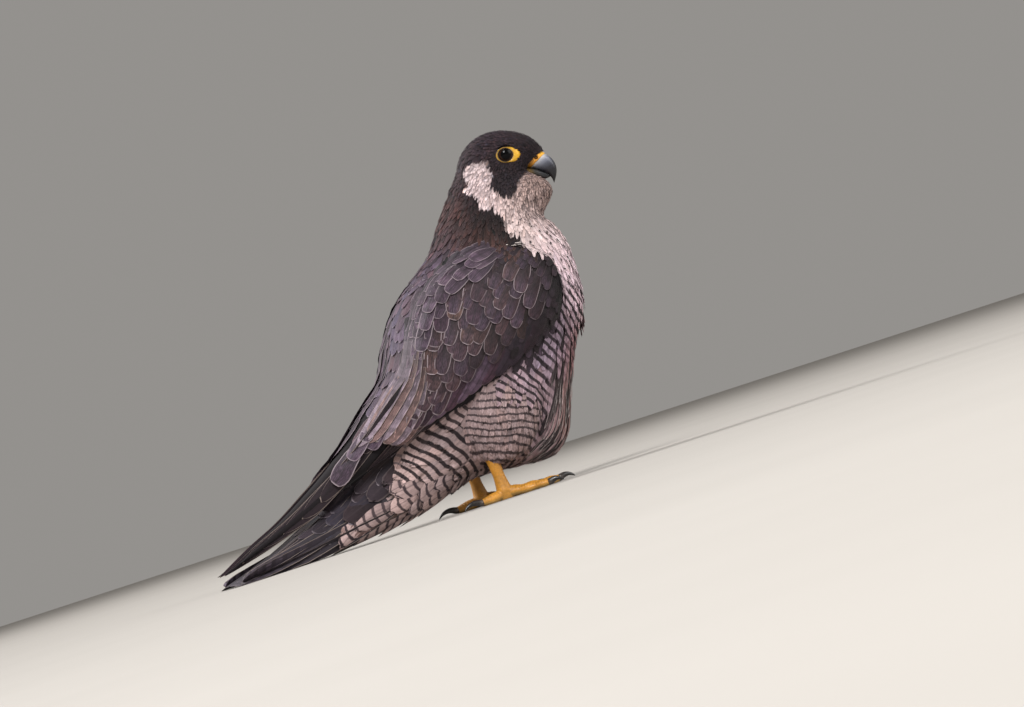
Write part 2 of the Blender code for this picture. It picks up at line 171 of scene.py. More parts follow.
def gridFaces(count, rows, cols, closed=False):
    index = np.arange(count * rows * cols).reshape(count, rows, cols)
    if closed:
        index = np.concatenate([index, index[:, :, :1]], 2)
    quads = np.stack([index[:, :-1, :-1], index[:, :-1, 1:], index[:, 1:, 1:], index[:, 1:, :-1]], -1)
    return quads.reshape(-1, 4)


cameraView = {"azimuth": -20.0, "distance": 4000.0, "height": 40.0, "aimAcross": 41.6, "aimUp": 109.1,
              "roll": 18.0, "lens": 175.8}


def setCamera(view):
    azimuth = math.radians(view["azimuth"])
    across = Vector((math.cos(azimuth), math.sin(azimuth), 0))
    back = Vector((math.sin(azimuth), -math.cos(azimuth), 0))
    start = Vector((shiftForward, 0, 0)) + across * view["aimAcross"]
    aim = start + Vector((0, 0, view["aimUp"]))
    eye = start + back * view["distance"] + Vector((0, 0, view["height"]))
    away = (eye - aim).normalized()
    up = away.cross(across).normalized()
    roll = math.radians(view["roll"])
    right = across * math.cos(roll) - up * math.sin(roll)
    top = up * math.cos(roll) + across * math.sin(roll)
    camera = bpy.data.objects.new("camera", bpy.data.cameras.new("camera"))
    bpy.context.scene.collection.objects.link(camera)
    camera.matrix_world = Matrix((right, top, away)).transposed().to_4x4()
    camera.location = eye * mm
    camera.data.lens = view["lens"]
    camera.data.clip_end = 60
    bpy.context.scene.camera = camera


# a large soft key high at the camera's left, a weak fill at its right, and a rim light from behind
lampAim = (40, 0, 130)
lampList = [
    {"name": "key", "at": (-1900, -4200, 4300), "size": 2.4, "watts": 430},
    {"name": "fill", "at": (4200, -2600, 1700), "size": 3.4, "watts": 110},
    {"name": "rim", "at": (-3200, 2900, 3600), "size": 2.8, "watts": 330},
]


def addLamps(lamps):
    for lamp in lamps:
        light = bpy.data.lights.new(lamp["name"], "AREA")
        light.size = lamp["size"]
        light.energy = lamp["watts"]
        holder = bpy.data.objects.new(lamp["name"], light)
        bpy.context.scene.collection.objects.link(holder)
        holder.location = Vector(lamp["at"]) * mm
        away = Vector(lamp["at"]) - Vector(lampAim)
        holder.rotation_euler = away.to_track_quat("Z", "Y").to_euler()


# half the floor's side in metres, its two tones, how fine their cloud is, and the room's tone and light
floorPlan = {"side": 9.0, "tones": ("a09b95", "a7a29c"), "cloud": 3.0, "room": "e4e0db", "roomLight": 0.38}


def addFloor():
    # matt pale card, with a faint unevenness so that it isn't one flat value
    material, tree, shader = newMaterial("matt pale card", 0.9)
    place = addNode(tree, "TexCoord").outputs["Object"]
    cloud = addNode(tree, "TexNoise", {"Vector": place, "Scale": floorPlan["cloud"], "Detail": 3.0})
    one, other = ((*tone(code), 1) for code in floorPlan["tones"])
    tint = addNode(tree, "Mix", {"Factor": cloud.outputs["Fac"], 6: one, 7: other}, data_type="RGBA")
    tree.links.new(tint.outputs[2], shader.inputs["Base Color"])
    mesh = bpy.data.meshes.new("floor")
    side = floorPlan["side"]
    corners = [(-side, -side, 0), (side, -side, 0), (side, side, 0), (-side, side, 0)]
    mesh.from_pydata(corners, [], [(0, 1, 2, 3)])
    mesh.materials.append(material)
    floor = bpy.data.objects.new("floor", mesh)
    bpy.context.scene.collection.objects.link(floor)
    world = bpy.data.worlds.new("pale room")
    world.use_nodes = True
    background = world.node_tree.nodes["Background"]
    background.inputs["Color"].default_value = (*tone(floorPlan["room"]), 1)
    background.inputs["Strength"].default_value = floorPlan["roomLight"]
    bpy.context.scene.world = world
    bpy.context.scene.view_settings.view_transform = "Standard"


setCamera(cameraView)
addLamps(lampList)
addFloor()
print("camera, lamps and floor are set")


# skin: one closed surface inside the plumage
# lengths in mm; depth is how far the skin lies inside each solid, and at most mostShare of its thickness;
# under the wing feathers the skin is near black, painted shade in the gaps between them
skinPlan = {"voxel": 1.6, "join": 0.25, "smoothing": 8, "probe": 60.0, "mostShare": 0.36,
            "underWingShade": "1f1a1d",
            "depth": {"head": 1.1, "neck": 1.8, "trunk": 2.2, "thigh": 2.0, "wing": 1.8, "tail": 1.6}}
fleshNodes = ["head", "neck", "trunk", "thigh_left", "thigh_right", "wing_left", "wing_right", "tail"]


def fleshShell():
    # the solids of flesh, swollen a little so that they touch, with the node that each face came from
    shell = bmesh.new()
    owners = []
    for name in fleshNodes:
        part = bmesh.new()
        part.from_mesh(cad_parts[name].data)
        bmesh.ops.remove_doubles(part, verts=part.verts, dist=2e-6)
        part.normal_update()
        for vert in part.verts:
            vert.co += vert.normal * skinPlan["join"] * mm
        copy = bpy.data.meshes.new("copy")
        part.to_mesh(copy)
        part.free()
        shell.from_mesh(copy)
        owners += [name] * len(copy.polygons)
        bpy.data.meshes.remove(copy)
    return shell, owners


def oneSurface(name, shell, voxel, smoothing):
    # a closed surface over all the shapes of the shell, relaxed a little
    mesh = bpy.data.meshes.new(name)
    shell.to_mesh(mesh)
    holder = bpy.data.objects.new(f"{name}_source", mesh)
    bpy.context.scene.collection.objects.link(holder)
    voxels = holder.modifiers.new("one surface", "REMESH")
    voxels.mode = "VOXEL"
    voxels.voxel_size = voxel * mm
    relax = holder.modifiers.new("relax", "SMOOTH")
    relax.iterations = smoothing
    graph = bpy.context.evaluated_depsgraph_get()
    result = bpy.data.meshes.new_from_object(holder.evaluated_get(graph))
    bpy.data.objects.remove(holder)
    return result


def meshPoints(mesh):
    points = np.empty(len(mesh.vertices) * 3, np.float32)
    mesh.vertices.foreach_get("co", points)
    return points.reshape(-1, 3).astype(float) / mm - (shiftForward, 0, 0)


def vertexNormals(mesh):
    normals = np.empty(len(mesh.vertices) * 3, np.float32)
    mesh.vertex_normals.foreach_get("vector", normals)
    return normals.reshape(-1, 3).astype(float)


def buildSkin():
    shell, owners = fleshShell()
    shell.faces.ensure_lookup_table()
    outer = BVHTree.FromBMesh(shell)
    mesh = oneSurface("skin", shell, skinPlan["voxel"], skinPlan["smoothing"])
    shell.free()
    points = meshPoints(mesh)
    normals = vertexNormals(mesh)
    around = BVHTree.FromPolygons([tuple(p) for p in points], [tuple(f.vertices) for f in mesh.polygons])
    owner = []
    depth = np.empty(len(points))
    for i, (point, normal) in enumerate(zip(points, normals)):
        found = outer.find_nearest((Vector(point) + Vector((shiftForward, 0, 0))) * mm)
        owner.append(owners[found[2]])
        hit = around.ray_cast(Vector(point - normal * 0.05), Vector(-normal), skinPlan["probe"])
        thickness = hit[3] if hit[3] is not None else skinPlan["probe"]
        wanted = skinPlan["depth"][owner[-1].split("_")[0]] + skinPlan["join"]
        depth[i] = min(wanted, skinPlan["mostShare"] * thickness)
    points = points - normals * depth[:, None]
    movePoints(mesh, points)
    return mesh, points, np.array(owner), depth


skinMesh, skinPoints, skinOwner, skinDepth = buildSkin()
skinFaces = [tuple(face.vertices) for face in skinMesh.polygons]
skinTree = BVHTree.FromPolygons([tuple(p) for p in skinPoints], skinFaces)
skinNormals = vertexNormals(skinMesh)
faceCorners = np.array([face if len(face) == 4 else face + (face[0],) for face in skinFaces])
faceNormals = unit(skinNormals[faceCorners].mean(1))
faceDepths = skinDepth[faceCorners].mean(1)
faceOwner = skinOwner[faceCorners[:, 0]]
print("skin:", len(skinFaces), "faces")


def unwrapSkin():
    # an unwrap of the skin's own shape, which each tuft of the coat takes its place from
    holder = bpy.data.objects.new("unwrap", skinMesh)
    bpy.context.scene.collection.objects.link(holder)
    bpy.context.view_layer.objects.active = holder
    holder.select_set(True)
    bpy.ops.object.mode_set(mode="EDIT")
    bpy.ops.mesh.select_all(action="SELECT")
    bpy.ops.uv.smart_project(angle_limit=math.radians(70), island_margin=0.004)
    bpy.ops.object.mode_set(mode="OBJECT")
    layer = skinMesh.uv_layers.active
    layer.name = "OFBake"
    flat = np.empty(len(skinMesh.loops) * 2, np.float32)
    layer.data.foreach_get("uv", flat)
    flat = flat.reshape(-1, 2)
    starts = np.array([face.loop_start for face in skinMesh.polygons])
    bpy.data.objects.remove(holder)
    return (flat[starts] + flat[starts + 2]) / 2


faceUvs = unwrapSkin()
print("skin unwrapped")


def onSkin(points):
    places = np.empty_like(points)
    faces = np.empty(len(points), int)
    for i, point in enumerate(points):
        place, _, face, _ = skinTree.find_nearest(point)
        places[i] = place
        faces[i] = face
    return places, faces


# what the feathers do at some places of the side view: which way they lie (x, z), how long and wide they are
lieGuides = {
    (117, 262): (-0.5, 0.85, 2.8, 1.4), (104, 256): (-0.9, 0.2, 2.4, 1.1),
    (92, 272): (-1.0, 0.1, 3.6, 1.7), (82, 285): (-1.0, 0.0, 4.8, 2.3),
    (62, 280): (-0.85, -0.5, 5.6, 2.6), (48, 263): (-0.5, -0.85, 7.0, 3.2),
    (66, 250): (-0.6, -0.8, 7.0, 1.5), (90, 250): (-0.5, -0.85, 3.4, 1.6),
    (88, 237): (-0.3, -0.95, 6.0, 1.6), (108, 237): (-0.45, -0.9, 4.2, 1.1),
    (104, 222): (-0.3, -0.95, 8.5, 1.6), (70, 225): (-0.35, -0.93, 11, 2.3),
    (25, 232): (-0.6, -0.8, 15, 3.6), (55, 195): (-0.4, -0.92, 17, 3.6),
    (104, 190): (0.15, -0.98, 17, 3.4), (113, 160): (-0.05, -1.0, 22, 4.2),
    (108, 125): (-0.3, -0.95, 26, 4.8), (88, 80): (-0.3, -0.95, 32, 4.8),
    (72, 45): (-0.4, -0.92, 28, 4.4), (45, 22): (-0.9, -0.4, 20, 7.0),
    (50, 110): (-0.55, -0.83, 30, 7.0), (30, 60): (-0.55, -0.83, 26, 6.6),
    (-5, 198): (-0.66, -0.75, 20, 8.0), (-35, 168): (-0.62, -0.78, 27, 13),
    (-60, 125): (-0.6, -0.8, 30, 14), (-90, 85): (-0.7, -0.7, 32, 14),
    (-125, 52): (-0.88, -0.47, 40, 15), (-5, 35): (-0.85, -0.5, 26, 10),
    (-45, 20): (-0.95, -0.25, 42, 16), (-95, 8): (-0.98, -0.15, 52, 19),
}
thighGuides = {
    (15, 95): (-0.35, -0.93, 24, 6.0), (5, 60): (-0.3, -0.95, 22, 5.0), (-5, 36): (-0.1, -1.0, 14, 3.4),
}

# the pale part seen from the side, straightened: cheek, throat, breast and all below
paleOutline = [
    (101.5, 243.3), (94.9, 239.5), (91.4, 235.2), (90.5, 231.2), (82.2, 226.0), (77.1, 229.0), (72.6, 235.3),
    (68.6, 241.4), (72.1, 245.1), (75.2, 248.9), (73.0, 253.3), (71.5, 259.8), (64.0, 262.8), (58.5, 262.2),
    (52.7, 257.5), (52.3, 250.4), (54.0, 246.2), (48.2, 245.1), (54.0, 239.0), (54.8, 233.9), (54.6, 226.1),
    (62.6, 224.7), (65.7, 214.0), (68.7, 210.5), (62.0, 203.0), (64.0, 194.0), (66.0, 182.0), (67.0, 168.0),
    (60.0, 150.0), (42.0, 128.0), (20.0, 112.0), (-26.0, 92.0), (-50.0, 80.0), (-80.0, 56.0), (-112.0, 31.0),
    (-140.0, 13.0), (-156.0, 5.0), (-158.0, -20.0), (140.0, -20.0), (140.0, 240.0), (112.0, 243.5),
]
# tones of the dark and of the pale plumage at some places of the same view; they are partly painted shade:
# throat, flank, belly and undertail are darker where those parts lie in shade, and the rump's tones next to
# the tail are painted shade
darkTones = {
    (85, 283): "35282f", (60, 275): "30242b", (86, 240): "20191d", (98, 256): "2d2227",
    (48, 255): "38292d", (25, 228): "4b302e", (55, 212): "0e090c", (45, 217): "140d11",
    (33, 200): "4e342f", (15, 212): "39272e", (-10, 195): "4d3b47", (-40, 165): "5c4a59",
    (-65, 120): "5c4b58", (-100, 80): "4c3d47", (-110, 38): "2f262c", (-150, 40): "332a32",
    (-220, 10): "2c232b",
}
paleTones = {
    (62, 250): "d8c5c6", (66, 232): "d6bebe", (108, 232): "9a7c73", (115, 235): "bda79f",
    (104, 220): "a0847c", (84, 215): "dbc3bd", (100, 195): "dbc3c2", (112, 165): "f3d7e0",
    (112, 130): "dabfc9", (95, 85): "946766", (60, 105): "978595", (30, 60): "9e868e",
    (72, 40): "936e6a", (-30, 25): "a89190", (-100, 8): "af9693", (-230, 2): "8c7775",
}


def sideView(points):
    # places seen from the side, with the head turned straight: forward, out to either side, and up
    plain = straightened(points)
    return plain[:, 0], np.abs(plain[:, 1]), plain[:, 2]


def guided(x, z, guides, reach, read):
    # what the guides say at each place, the nearest counting most
    at = np.array(list(guides), float)
    distance = (x[:, None] - at[:, 0]) ** 2 + (z[:, None] - at[:, 1]) ** 2
    weight = np.exp(-(distance - distance.min(1, keepdims=True)) / (2 * reach * reach))
    return (weight / weight.sum(1, keepdims=True)) @ np.array([read(guide) for guide in guides.values()])


def offLine(x, z, line):
    # distance to a bent line seen from the side
    gaps = []
    for (x0, z0), (x1, z1) in zip(line, line[1:]):
        dx, dz = x1 - x0, z1 - z0
        part = np.clip(((x - x0) * dx + (z - z0) * dz) / (dx * dx + dz * dz), 0, 1)
        gaps.append(np.hypot(x - x0 - part * dx, z - z0 - part * dz))
    return np.minimum.reduce(gaps)


def insideOutline(x, z, outline, softness):
    loop = [*outline, outline[0]]
    inside = np.zeros(len(x), bool)
    for (x0, z0), (x1, z1) in zip(loop, loop[1:]):
        if z0 != z1:
            inside ^= ((z0 > z) != (z1 > z)) & (x < x0 + (z - z0) / (z1 - z0) * (x1 - x0))
    gap = offLine(x, z, loop)
    return np.clip(0.5 + np.where(inside, gap, -gap) / softness, 0, 1)


def waves(x, y, z, size):
    # slow unevenness between -1 and 1
    first = np.sin(x / size + 1.3 * np.sin(y / size))
    return (first + np.sin(z / size * 1.17 + 1.7 * np.cos(x / size * 0.7))) / 2


# heights in mm where the markings change, how far tones reach from their guides, and how much edges waver;
# the thighs' tone is partly painted shade
markPlan = {"crown": (262, 268), "crownBack": 40, "barsFade": (132, 160), "barsEnd": 150, "edge": 1.6,
            "waver": (2.3, 0.9), "darkReach": 13, "paleReach": 15, "thighTone": "9d8685", "thighBars": 0.9}


def markings(points, thigh):
    # colour, how pale the place is, and how strongly it is barred
    x, y, z = sideView(points)
    wobble = waves(x, y, z, markPlan["waver"][0]) * markPlan["waver"][1]
    pale = insideOutline(x + wobble, z + wobble, paleOutline, markPlan["edge"])
    crownwise = ramp(*markPlan["crown"], z)
    pale = np.where(thigh, 1.0, pale * (1 - crownwise * (x > markPlan["crownBack"])))
    dark = guided(x, z, darkTones, markPlan["darkReach"], tone)
    light = guided(x, z, paleTones, markPlan["paleReach"], tone)
    light = np.where(thigh[:, None], np.array(tone(markPlan["thighTone"])), light)
    colour = dark * (1 - pale[:, None]) + light * pale[:, None]
    barred = pale * (1 - ramp(*markPlan["barsFade"], z)) * ramp(-8, 12, markPlan["barsEnd"] - z)
    return colour, pale, np.where(thigh, markPlan["thighBars"], barred)


def barPlace(points, thigh):
    # runs on in mm across the bars, so that those of neighbouring feathers meet; thighs have them about level
    x, y, z = sideView(points)
    drop = np.where(thigh, -0.95 * z - 0.31 * x, -0.66 * z - 0.75 * x + 0.25 * y)
    return drop + 1.7 * waves(x, y, z, 8.0) + np.where(thigh, 0.9, 0.6) * waves(z, x, y, 3.3)


guideReach = {"lie": 11, "size": 8, "thigh": 14}  # how far the guides above reach, in mm


def lieAt(points, thigh):
    share = turnShare(points)
    plain = spin(points, -headPose["turn"] * share)
    body, leg = (guided(plain[:, 0], plain[:, 2], guides, reach, lambda guide: guide[:2])
                 for guides, reach in ((lieGuides, guideReach["lie"]), (thighGuides, guideReach["thigh"])))
    flat = np.where(thigh[:, None], leg, body)
    a = np.radians(headPose["turn"] * share)
    return unit(np.stack([flat[:, 0] * np.cos(a), flat[:, 0] * np.sin(a), flat[:, 1]], 1))


def sizeAt(points, thigh):
    x, _, z = sideView(points)
    body, leg = (guided(x, z, guides, reach, lambda guide: guide[2:])
                 for guides, reach in ((lieGuides, guideReach["size"]), (thighGuides, guideReach["thigh"])))
    return np.where(thigh[:, None], leg, body)


def scatterRoots(owners, spacing, keep):
    # evenly spread root places on the skin of these parts: closer across a feather than along it
    chosen = np.nonzero(np.isin(faceOwner, owners))[0]
    corners = skinPoints[faceCorners[chosen]]
    areas = np.linalg.norm(np.cross(corners[:, 1] - corners[:, 0], corners[:, 3] - corners[:, 0]), axis=1)
    sizes = sizeAt(corners.mean(1), np.char.startswith(faceOwner[chosen], "thigh"))
    expected = (areas / (sizes[:, 0] * spacing[1] * sizes[:, 1] * spacing[0])).sum()
    count = min(90000, int(14 * expected))  # far more places than fit, so that the gaps close
    picked = rng.choice(len(chosen), size=count, p=areas / areas.sum())
    a, b = rng.random((2, len(picked), 1))
    quad = corners[picked]
    near, far = quad[:, 0] * (1 - a) + quad[:, 1] * a, quad[:, 3] * (1 - a) + quad[:, 2] * a
    points = near * (1 - b) + far * b
    faces = chosen[picked]
    thigh = np.char.startswith(faceOwner[faces], "thigh")
    allowed = keep(points, faces)
    points, faces, thigh = points[allowed], faces[allowed], thigh[allowed]
    reach = sizeAt(points, thigh) * (spacing[1], spacing[0])
    lies = lieAt(points, thigh)
    cell = float(reach.max())
    cellsAround = [(dx, dy, dz) for dx in (0, -1, 1) for dy in (0, -1, 1) for dz in (0, -1, 1)]
    filled = {}
    kept = []
    candidates = zip(points.tolist(), reach.tolist(), lies.tolist())
    for i, ((x, y, z), (long, wide), (lx, ly, lz)) in enumerate(candidates):
        at = (int(x // cell), int(y // cell), int(z // cell))
        free = True
        for dx, dy, dz in cellsAround:
            for ox, oy, oz in filled.get((at[0] + dx, at[1] + dy, at[2] + dz), ()):
                gx, gy, gz = x - ox, y - oy, z - oz
                along = gx * lx + gy * ly + gz * lz
                across = gx * gx + gy * gy + gz * gz - along * along
                if (along / long) ** 2 + across / (wide * wide) < 1:
                    free = False
                    break
            if not free:
                break
        if free:
            filled.setdefault(at, []).append((x, y, z))
            kept.append(i)
    return points[kept], faces[kept], thigh[kept]


# outlines of feathers: places along the feather, its width there, and how far its corners hang back
contourShape = {"rows": (0.0, 0.3, 0.55, 0.74, 0.88, 0.96, 1.0),
                "fill": (0.45, 0.9, 1.0, 0.95, 0.76, 0.52, 0.26), "arc": 0.15}
lockShape = {"rows": (0.0, 0.25, 0.5, 0.7, 0.84, 0.94, 1.0), "fill": (0.5, 0.9, 1.0, 0.9, 0.68, 0.42, 0.14),
             "arc": 0.15}
downShape = {"rows": (0.0, 0.4, 0.75, 1.0), "fill": (0.6, 1.0, 0.8, 0.3), "arc": 0.2}


def growFeathers(roots, faces, lie, length, width, shape, cols=5, root=0.15, tip=1.0, camber=0.10,
                 sway=0.12, fray=0.0, comb=0.0, wrap=True, rachis=0.0):
    # vanes that follow the skin from their roots: places, and where each point is on its own feather
    count = len(roots)
    rows = np.array(shape["rows"])
    place, face = roots.copy(), faces.copy()
    centres, normals, ways = [], [], []
    turn = rng.normal(0, sway, count)[:, None]
    for k in range(len(rows)):
        if k:
            step = (rows[k] - rows[k - 1]) * length
            place, face = onSkin(place + way * step[:, None])
        normal = faceNormals[face]
        way = lie(place) if callable(lie) else lie
        way = unit(way - normal * (way * normal).sum(1, keepdims=True))
        way = unit(way + np.cross(normal, way) * turn)
        centres.append(place)
        normals.append(normal)
        ways.append(way)
    centres, normals, ways = (np.stack(part, 1)[:, :, None, :] for part in (centres, normals, ways))
    across = np.cross(normals, ways)
    s = np.linspace(-1, 1, cols)[None, None, :, None]
    v = rows[None, :, None, None]
    fill = np.array(shape["fill"])[None, :, None, None]
    long = length[:, None, None, None]
    half = width[:, None, None, None] / 2
    ragged = rng.normal(0, 1, (count, len(rows), cols, 1)) * fray * ramp(0.3, 1.0, v)
    arc = shape["arc"] * half * s ** 2 * v ** 2
    points = centres + across * s * half * fill * (1 + 0.35 * ragged)
    points = points - ways * (arc - ragged * half * 0.9)
    # barbs part into locks at the tip: every other column stops short
    short = (np.arange(cols) % 2)[None, None, :, None] * comb * rng.uniform(0.5, 1.4, (count, 1, cols, 1))
    points = points - ways * (short * long * ramp(0.45, 1.0, v))
    height = root + (tip * (0.75 + 0.5 * rng.random((count, 1, 1, 1))) - root) * v ** 1.2
    height = height - camber * half * s ** 2 * fill + rachis * np.exp(-(s / 0.12) ** 2) * (1 - v)
    if wrap:
        flat, found = onSkin(points.reshape(-1, 3))
        lifted = faceNormals[found].reshape(points.shape)
        points = flat.reshape(points.shape) + lifted * np.maximum(height, 0.08)
    else:
        points = points + normals * height
    spread = np.broadcast_to(s, points.shape[:3] + (1,))[..., 0]
    down = np.broadcast_to(v, points.shape[:3] + (1,))[..., 0]
    return points, spread, down


bakePatch = 0.003  # a feather's share of the skin's unwrap
overFloor = 0.3  # no feather reaches lower


def coatMesh(name, points, spread, down, rootFaces, colours, marks):
    count, rows, cols, _ = points.shape
    faces = gridFaces(count, rows, cols)
    vane = np.stack([(spread + 1) / 2, down], -1).reshape(-1, 2)
    bake = faceUvs[rootFaces][:, None, None, :] + bakePatch * np.stack([spread / 2, down - 0.5], -1)
    placed = points.reshape(-1, 3).copy()
    placed[:, 2] = np.maximum(placed[:, 2], overFloor)
    mesh = fillMesh(name, placed, faces,
                    {"OFBake": np.clip(bake, 0, 1).reshape(-1, 2), "vane": vane},
                    {"coatTone": colours.reshape(-1, 3)},
                    {key: np.broadcast_to(value, points.shape[:3]) for key, value in marks.items()})
    print(f"{name}: {count} feathers, {len(faces) * 2} triangles")
    return mesh


def plumageMaterial(name, look):
    # keratin: barbs hooked into a vane with little shine, a shaft, a worn rim, and bars of pigment
    material, tree, shader = newMaterial(name, look["roughness"], Sheen_Weight=look["sheen"],
                                         Sheen_Roughness=0.45, Specular_IOR_Level=0.2, IOR=1.54)
    marks = {key: addNode(tree, "Attribute", attribute_name=key).outputs
             for key in ("coatTone", "barred", "barPlace", "fringed", "spotted")}
    vane = addNode(tree, "UVMap", uv_map="vane").outputs["UV"]
    split = addNode(tree, "SeparateXYZ", {"Vector": vane}).outputs
    centred = addNode(tree, "Math", {0: split["X"], 1: 0.5}, operation="SUBTRACT").outputs[0]
    side = addNode(tree, "Math", {0: centred}, operation="ABSOLUTE").outputs[0]
    place = addNode(tree, "TexCoord").outputs["Object"]
    # worn blotches about 3 mm across, which break up the pigment
    blotch = addNode(tree, "TexNoise", {"Vector": place, "Scale": 1 / (3.0 * mm), "Detail": 3.0}).outputs[0]
    # barbs cling together in strands that run down the vane
    drift = addNode(tree, "VectorMath", {0: place, 1: (0, 0, 0.4 / mm)}, operation="MULTIPLY").outputs[0]
    run = addNode(tree, "VectorMath", {0: vane, 1: (look["strands"], 1.6, 0), 2: drift},
                  operation="MULTIPLY_ADD").outputs[0]
    strand = addNode(tree, "TexNoise", {"Vector": run, "Scale": 1.0, "Detail": 2.0}).outputs[0]
    patches, streaks = (addNode(tree, "MapRange", {"Value": noise, "From Min": 0.3, "From Max": 0.7,
                                                   "To Min": 1 - amount, "To Max": 1 + amount}).outputs[0]
                        for noise, amount in ((blotch, look["blotch"]), (strand, look["streak"])))
    shade = addNode(tree, "Math", {0: patches, 1: streaks}, operation="MULTIPLY").outputs[0]
    colour = addNode(tree, "VectorMath", {0: marks["coatTone"]["Color"], "Scale": shade},
                     operation="SCALE").outputs[0]
    # bars bow across each vane, and their edges are ragged by about a millimetre
    ragged = addNode(tree, "TexNoise", {"Vector": place, "Scale": 1 / (1.2 * mm), "Detail": 2.0}).outputs[0]
    jitter = addNode(tree, "Math", {0: ragged, 1: look["raggedBar"]}, operation="MULTIPLY").outputs[0]
    bowed = addNode(tree, "Math", {0: side, 1: side}, operation="MULTIPLY").outputs[0]
    chevron = addNode(tree, "Math", {0: bowed, 1: look["chevron"] * 2, 2: jitter},
                      operation="MULTIPLY_ADD").outputs[0]
    shifted = addNode(tree, "Math", {0: marks["barPlace"]["Fac"], 1: chevron},
                      operation="SUBTRACT").outputs[0]
    turns = addNode(tree, "Math", {0: shifted, 1: 2 * math.pi / look["barSpacing"]},
                    operation="MULTIPLY").outputs[0]
    wave = addNode(tree, "Math", {0: turns}, operation="COSINE").outputs[0]
    edge = math.cos(math.pi * look["barWidth"])
    band = addNode(tree, "MapRange", {"Value": wave, "From Min": edge - 0.22,
                                      "From Max": edge + 0.22}).outputs[0]
    bars = addNode(tree, "Math", {0: band, 1: marks["barred"]["Fac"]}, operation="MULTIPLY").outputs[0]
    # the shaft, and a pale worn rim along both sides and round the tip
    shaft = addNode(tree, "MapRange", {"Value": side, "From Min": look["shaft"] * 0.5,
                                       "From Max": look["shaft"], "To Min": look["shaftDepth"],
                                       "To Max": 0.0}).outputs[0]
    sideRim, tipRim = (addNode(tree, "MapRange", {"Value": value, "From Min": end - width,
                                                  "From Max": end - width * 0.4}).outputs[0]
                       for value, end, width in ((side, 0.5, look["fringe"]),
                                                 (split["Y"], 1, look["tipFringe"])))
    rim = addNode(tree, "Math", {0: sideRim, 1: tipRim}, operation="MAXIMUM").outputs[0]
    fringe = addNode(tree, "Math", {0: rim, 1: marks["fringed"]["Fac"]}, operation="MULTIPLY").outputs[0]
    # on some feathers, a dark drop near the tip
    offDrop = addNode(tree, "VectorMath", {0: vane, 1: (0.5, 0.85, 0)}, operation="SUBTRACT").outputs[0]
    scaled = addNode(tree, "VectorMath", {0: offDrop, 1: (1.9, 6.5, 0)}, operation="MULTIPLY").outputs[0]
    far = addNode(tree, "VectorMath", {0: scaled}, operation="LENGTH").outputs["Value"]
    near = addNode(tree, "MapRange", {"Value": far, "From Min": 0.6, "From Max": 1.1,
                                      "To Min": 1.0, "To Max": 0.0}).outputs[0]
    drop = addNode(tree, "Math", {0: near, 1: marks["spotted"]["Fac"]}, operation="MULTIPLY").outputs[0]
    for mask, layer in ((bars, "barTone"), (shaft, "shaftTone"), (fringe, "fringeTone"), (drop, "barTone")):
        colour = addNode(tree, "Mix", {"Factor": mask, 6: colour, 7: (*tone(look[layer]), 1)},
                         data_type="RGBA").outputs[2]
    tree.links.new(colour, shader.inputs["Base Color"])
    # barbs leave the shaft at a slant, about 0.3 mm apart on a real vane; that is too fine to show, so the
    # lines stand about a millimetre apart
    slant = addNode(tree, "Math", {0: side, 1: look["barbSlant"], 2: split["Y"]},
                    operation="MULTIPLY_ADD").outputs[0]
    lines = addNode(tree, "Math", {0: slant, 1: look["barbs"] * 2 * math.pi}, operation="MULTIPLY").outputs[0]
    fine = addNode(tree, "Math", {0: lines}, operation="SINE").outputs[0]
    bump = addNode(tree, "Bump", {"Height": fine, "Strength": look["barbDepth"], "Distance": 0.15 * mm})
    tree.links.new(bump.outputs["Normal"], shader.inputs["Normal"])
    return material


# lengths in mm: barSpacing, raggedBar, chevron; barWidth is the dark part of each spacing; shaft, fringe and
# tipFringe are parts of the vane; barbs and strands count lines along and across a feather
plainLook = {"roughness": 0.72, "sheen": 0.04, "blotch": 0.14, "barSpacing": 6.6, "barWidth": 0.34,
             "raggedBar": 1.6, "chevron": 3.0, "barTone": "34292e", "shaft": 0.045, "shaftDepth": 0.4,
             "shaftTone": "3a3034", "fringe": 0.10, "fringeTone": "9a8b88", "barbs": 26.0, "barbSlant": 1.1,
             "barbDepth": 0.35, "strands": 9.0, "streak": 0.16, "tipFringe": 0.05}
# hood: short dense feathers full of dark pigment, matt, with brown worn rims that make a fine scaly grain
hoodFeathers = plumageMaterial("slate hood feathers", {
    **plainLook, "blotch": 0.25, "fringeTone": "5f4f55", "shaftDepth": 0.45, "shaft": 0.08, "streak": 0.3,
    "strands": 5.0})
# breast: soft feathers with hardly any pigment; they scatter light and look creamy, with near-black bars
breastFeathers = plumageMaterial("cream breast feathers", {
    **plainLook, "fringeTone": "dccdcb", "shaftDepth": 0.25, "blotch": 0.09, "streak": 0.18, "strands": 10.0,
    "barWidth": 0.41, "raggedBar": 1.6, "chevron": 0.3, "barSpacing": 7.0, "barTone": "1d1519"})
# thighs: loose feathers whose barbs part into strands, with close level bars
thighFeathers = plumageMaterial("barred thigh feathers", {
    **plainLook, "barSpacing": 5.8, "barWidth": 0.32, "barTone": "241b1f", "fringeTone": "b7a8a4",
    "chevron": 0.6, "streak": 0.34, "raggedBar": 2.2})
# tail coverts: long smooth feathers under the tail, with pointed bars far apart
tailCoverts = plumageMaterial("barred tail covert feathers", {
    **plainLook, "barSpacing": 9.5, "barWidth": 0.30, "fringeTone": "c0aea6", "chevron": 7.0, "streak": 0.14,
    "raggedBar": 1.2, "strands": 14.0})
# back: firm feathers with a blue-grey bloom and a thin pale rim, a little smoother than the rest
backFeathers = plumageMaterial("blue-grey back feathers", {
    **plainLook, "fringeTone": "988d94", "fringe": 0.05, "shaftDepth": 0.75, "shaft": 0.035,
    "barSpacing": 8.5, "barWidth": 0.3, "barTone": "453e46", "roughness": 0.6, "strands": 16.0})


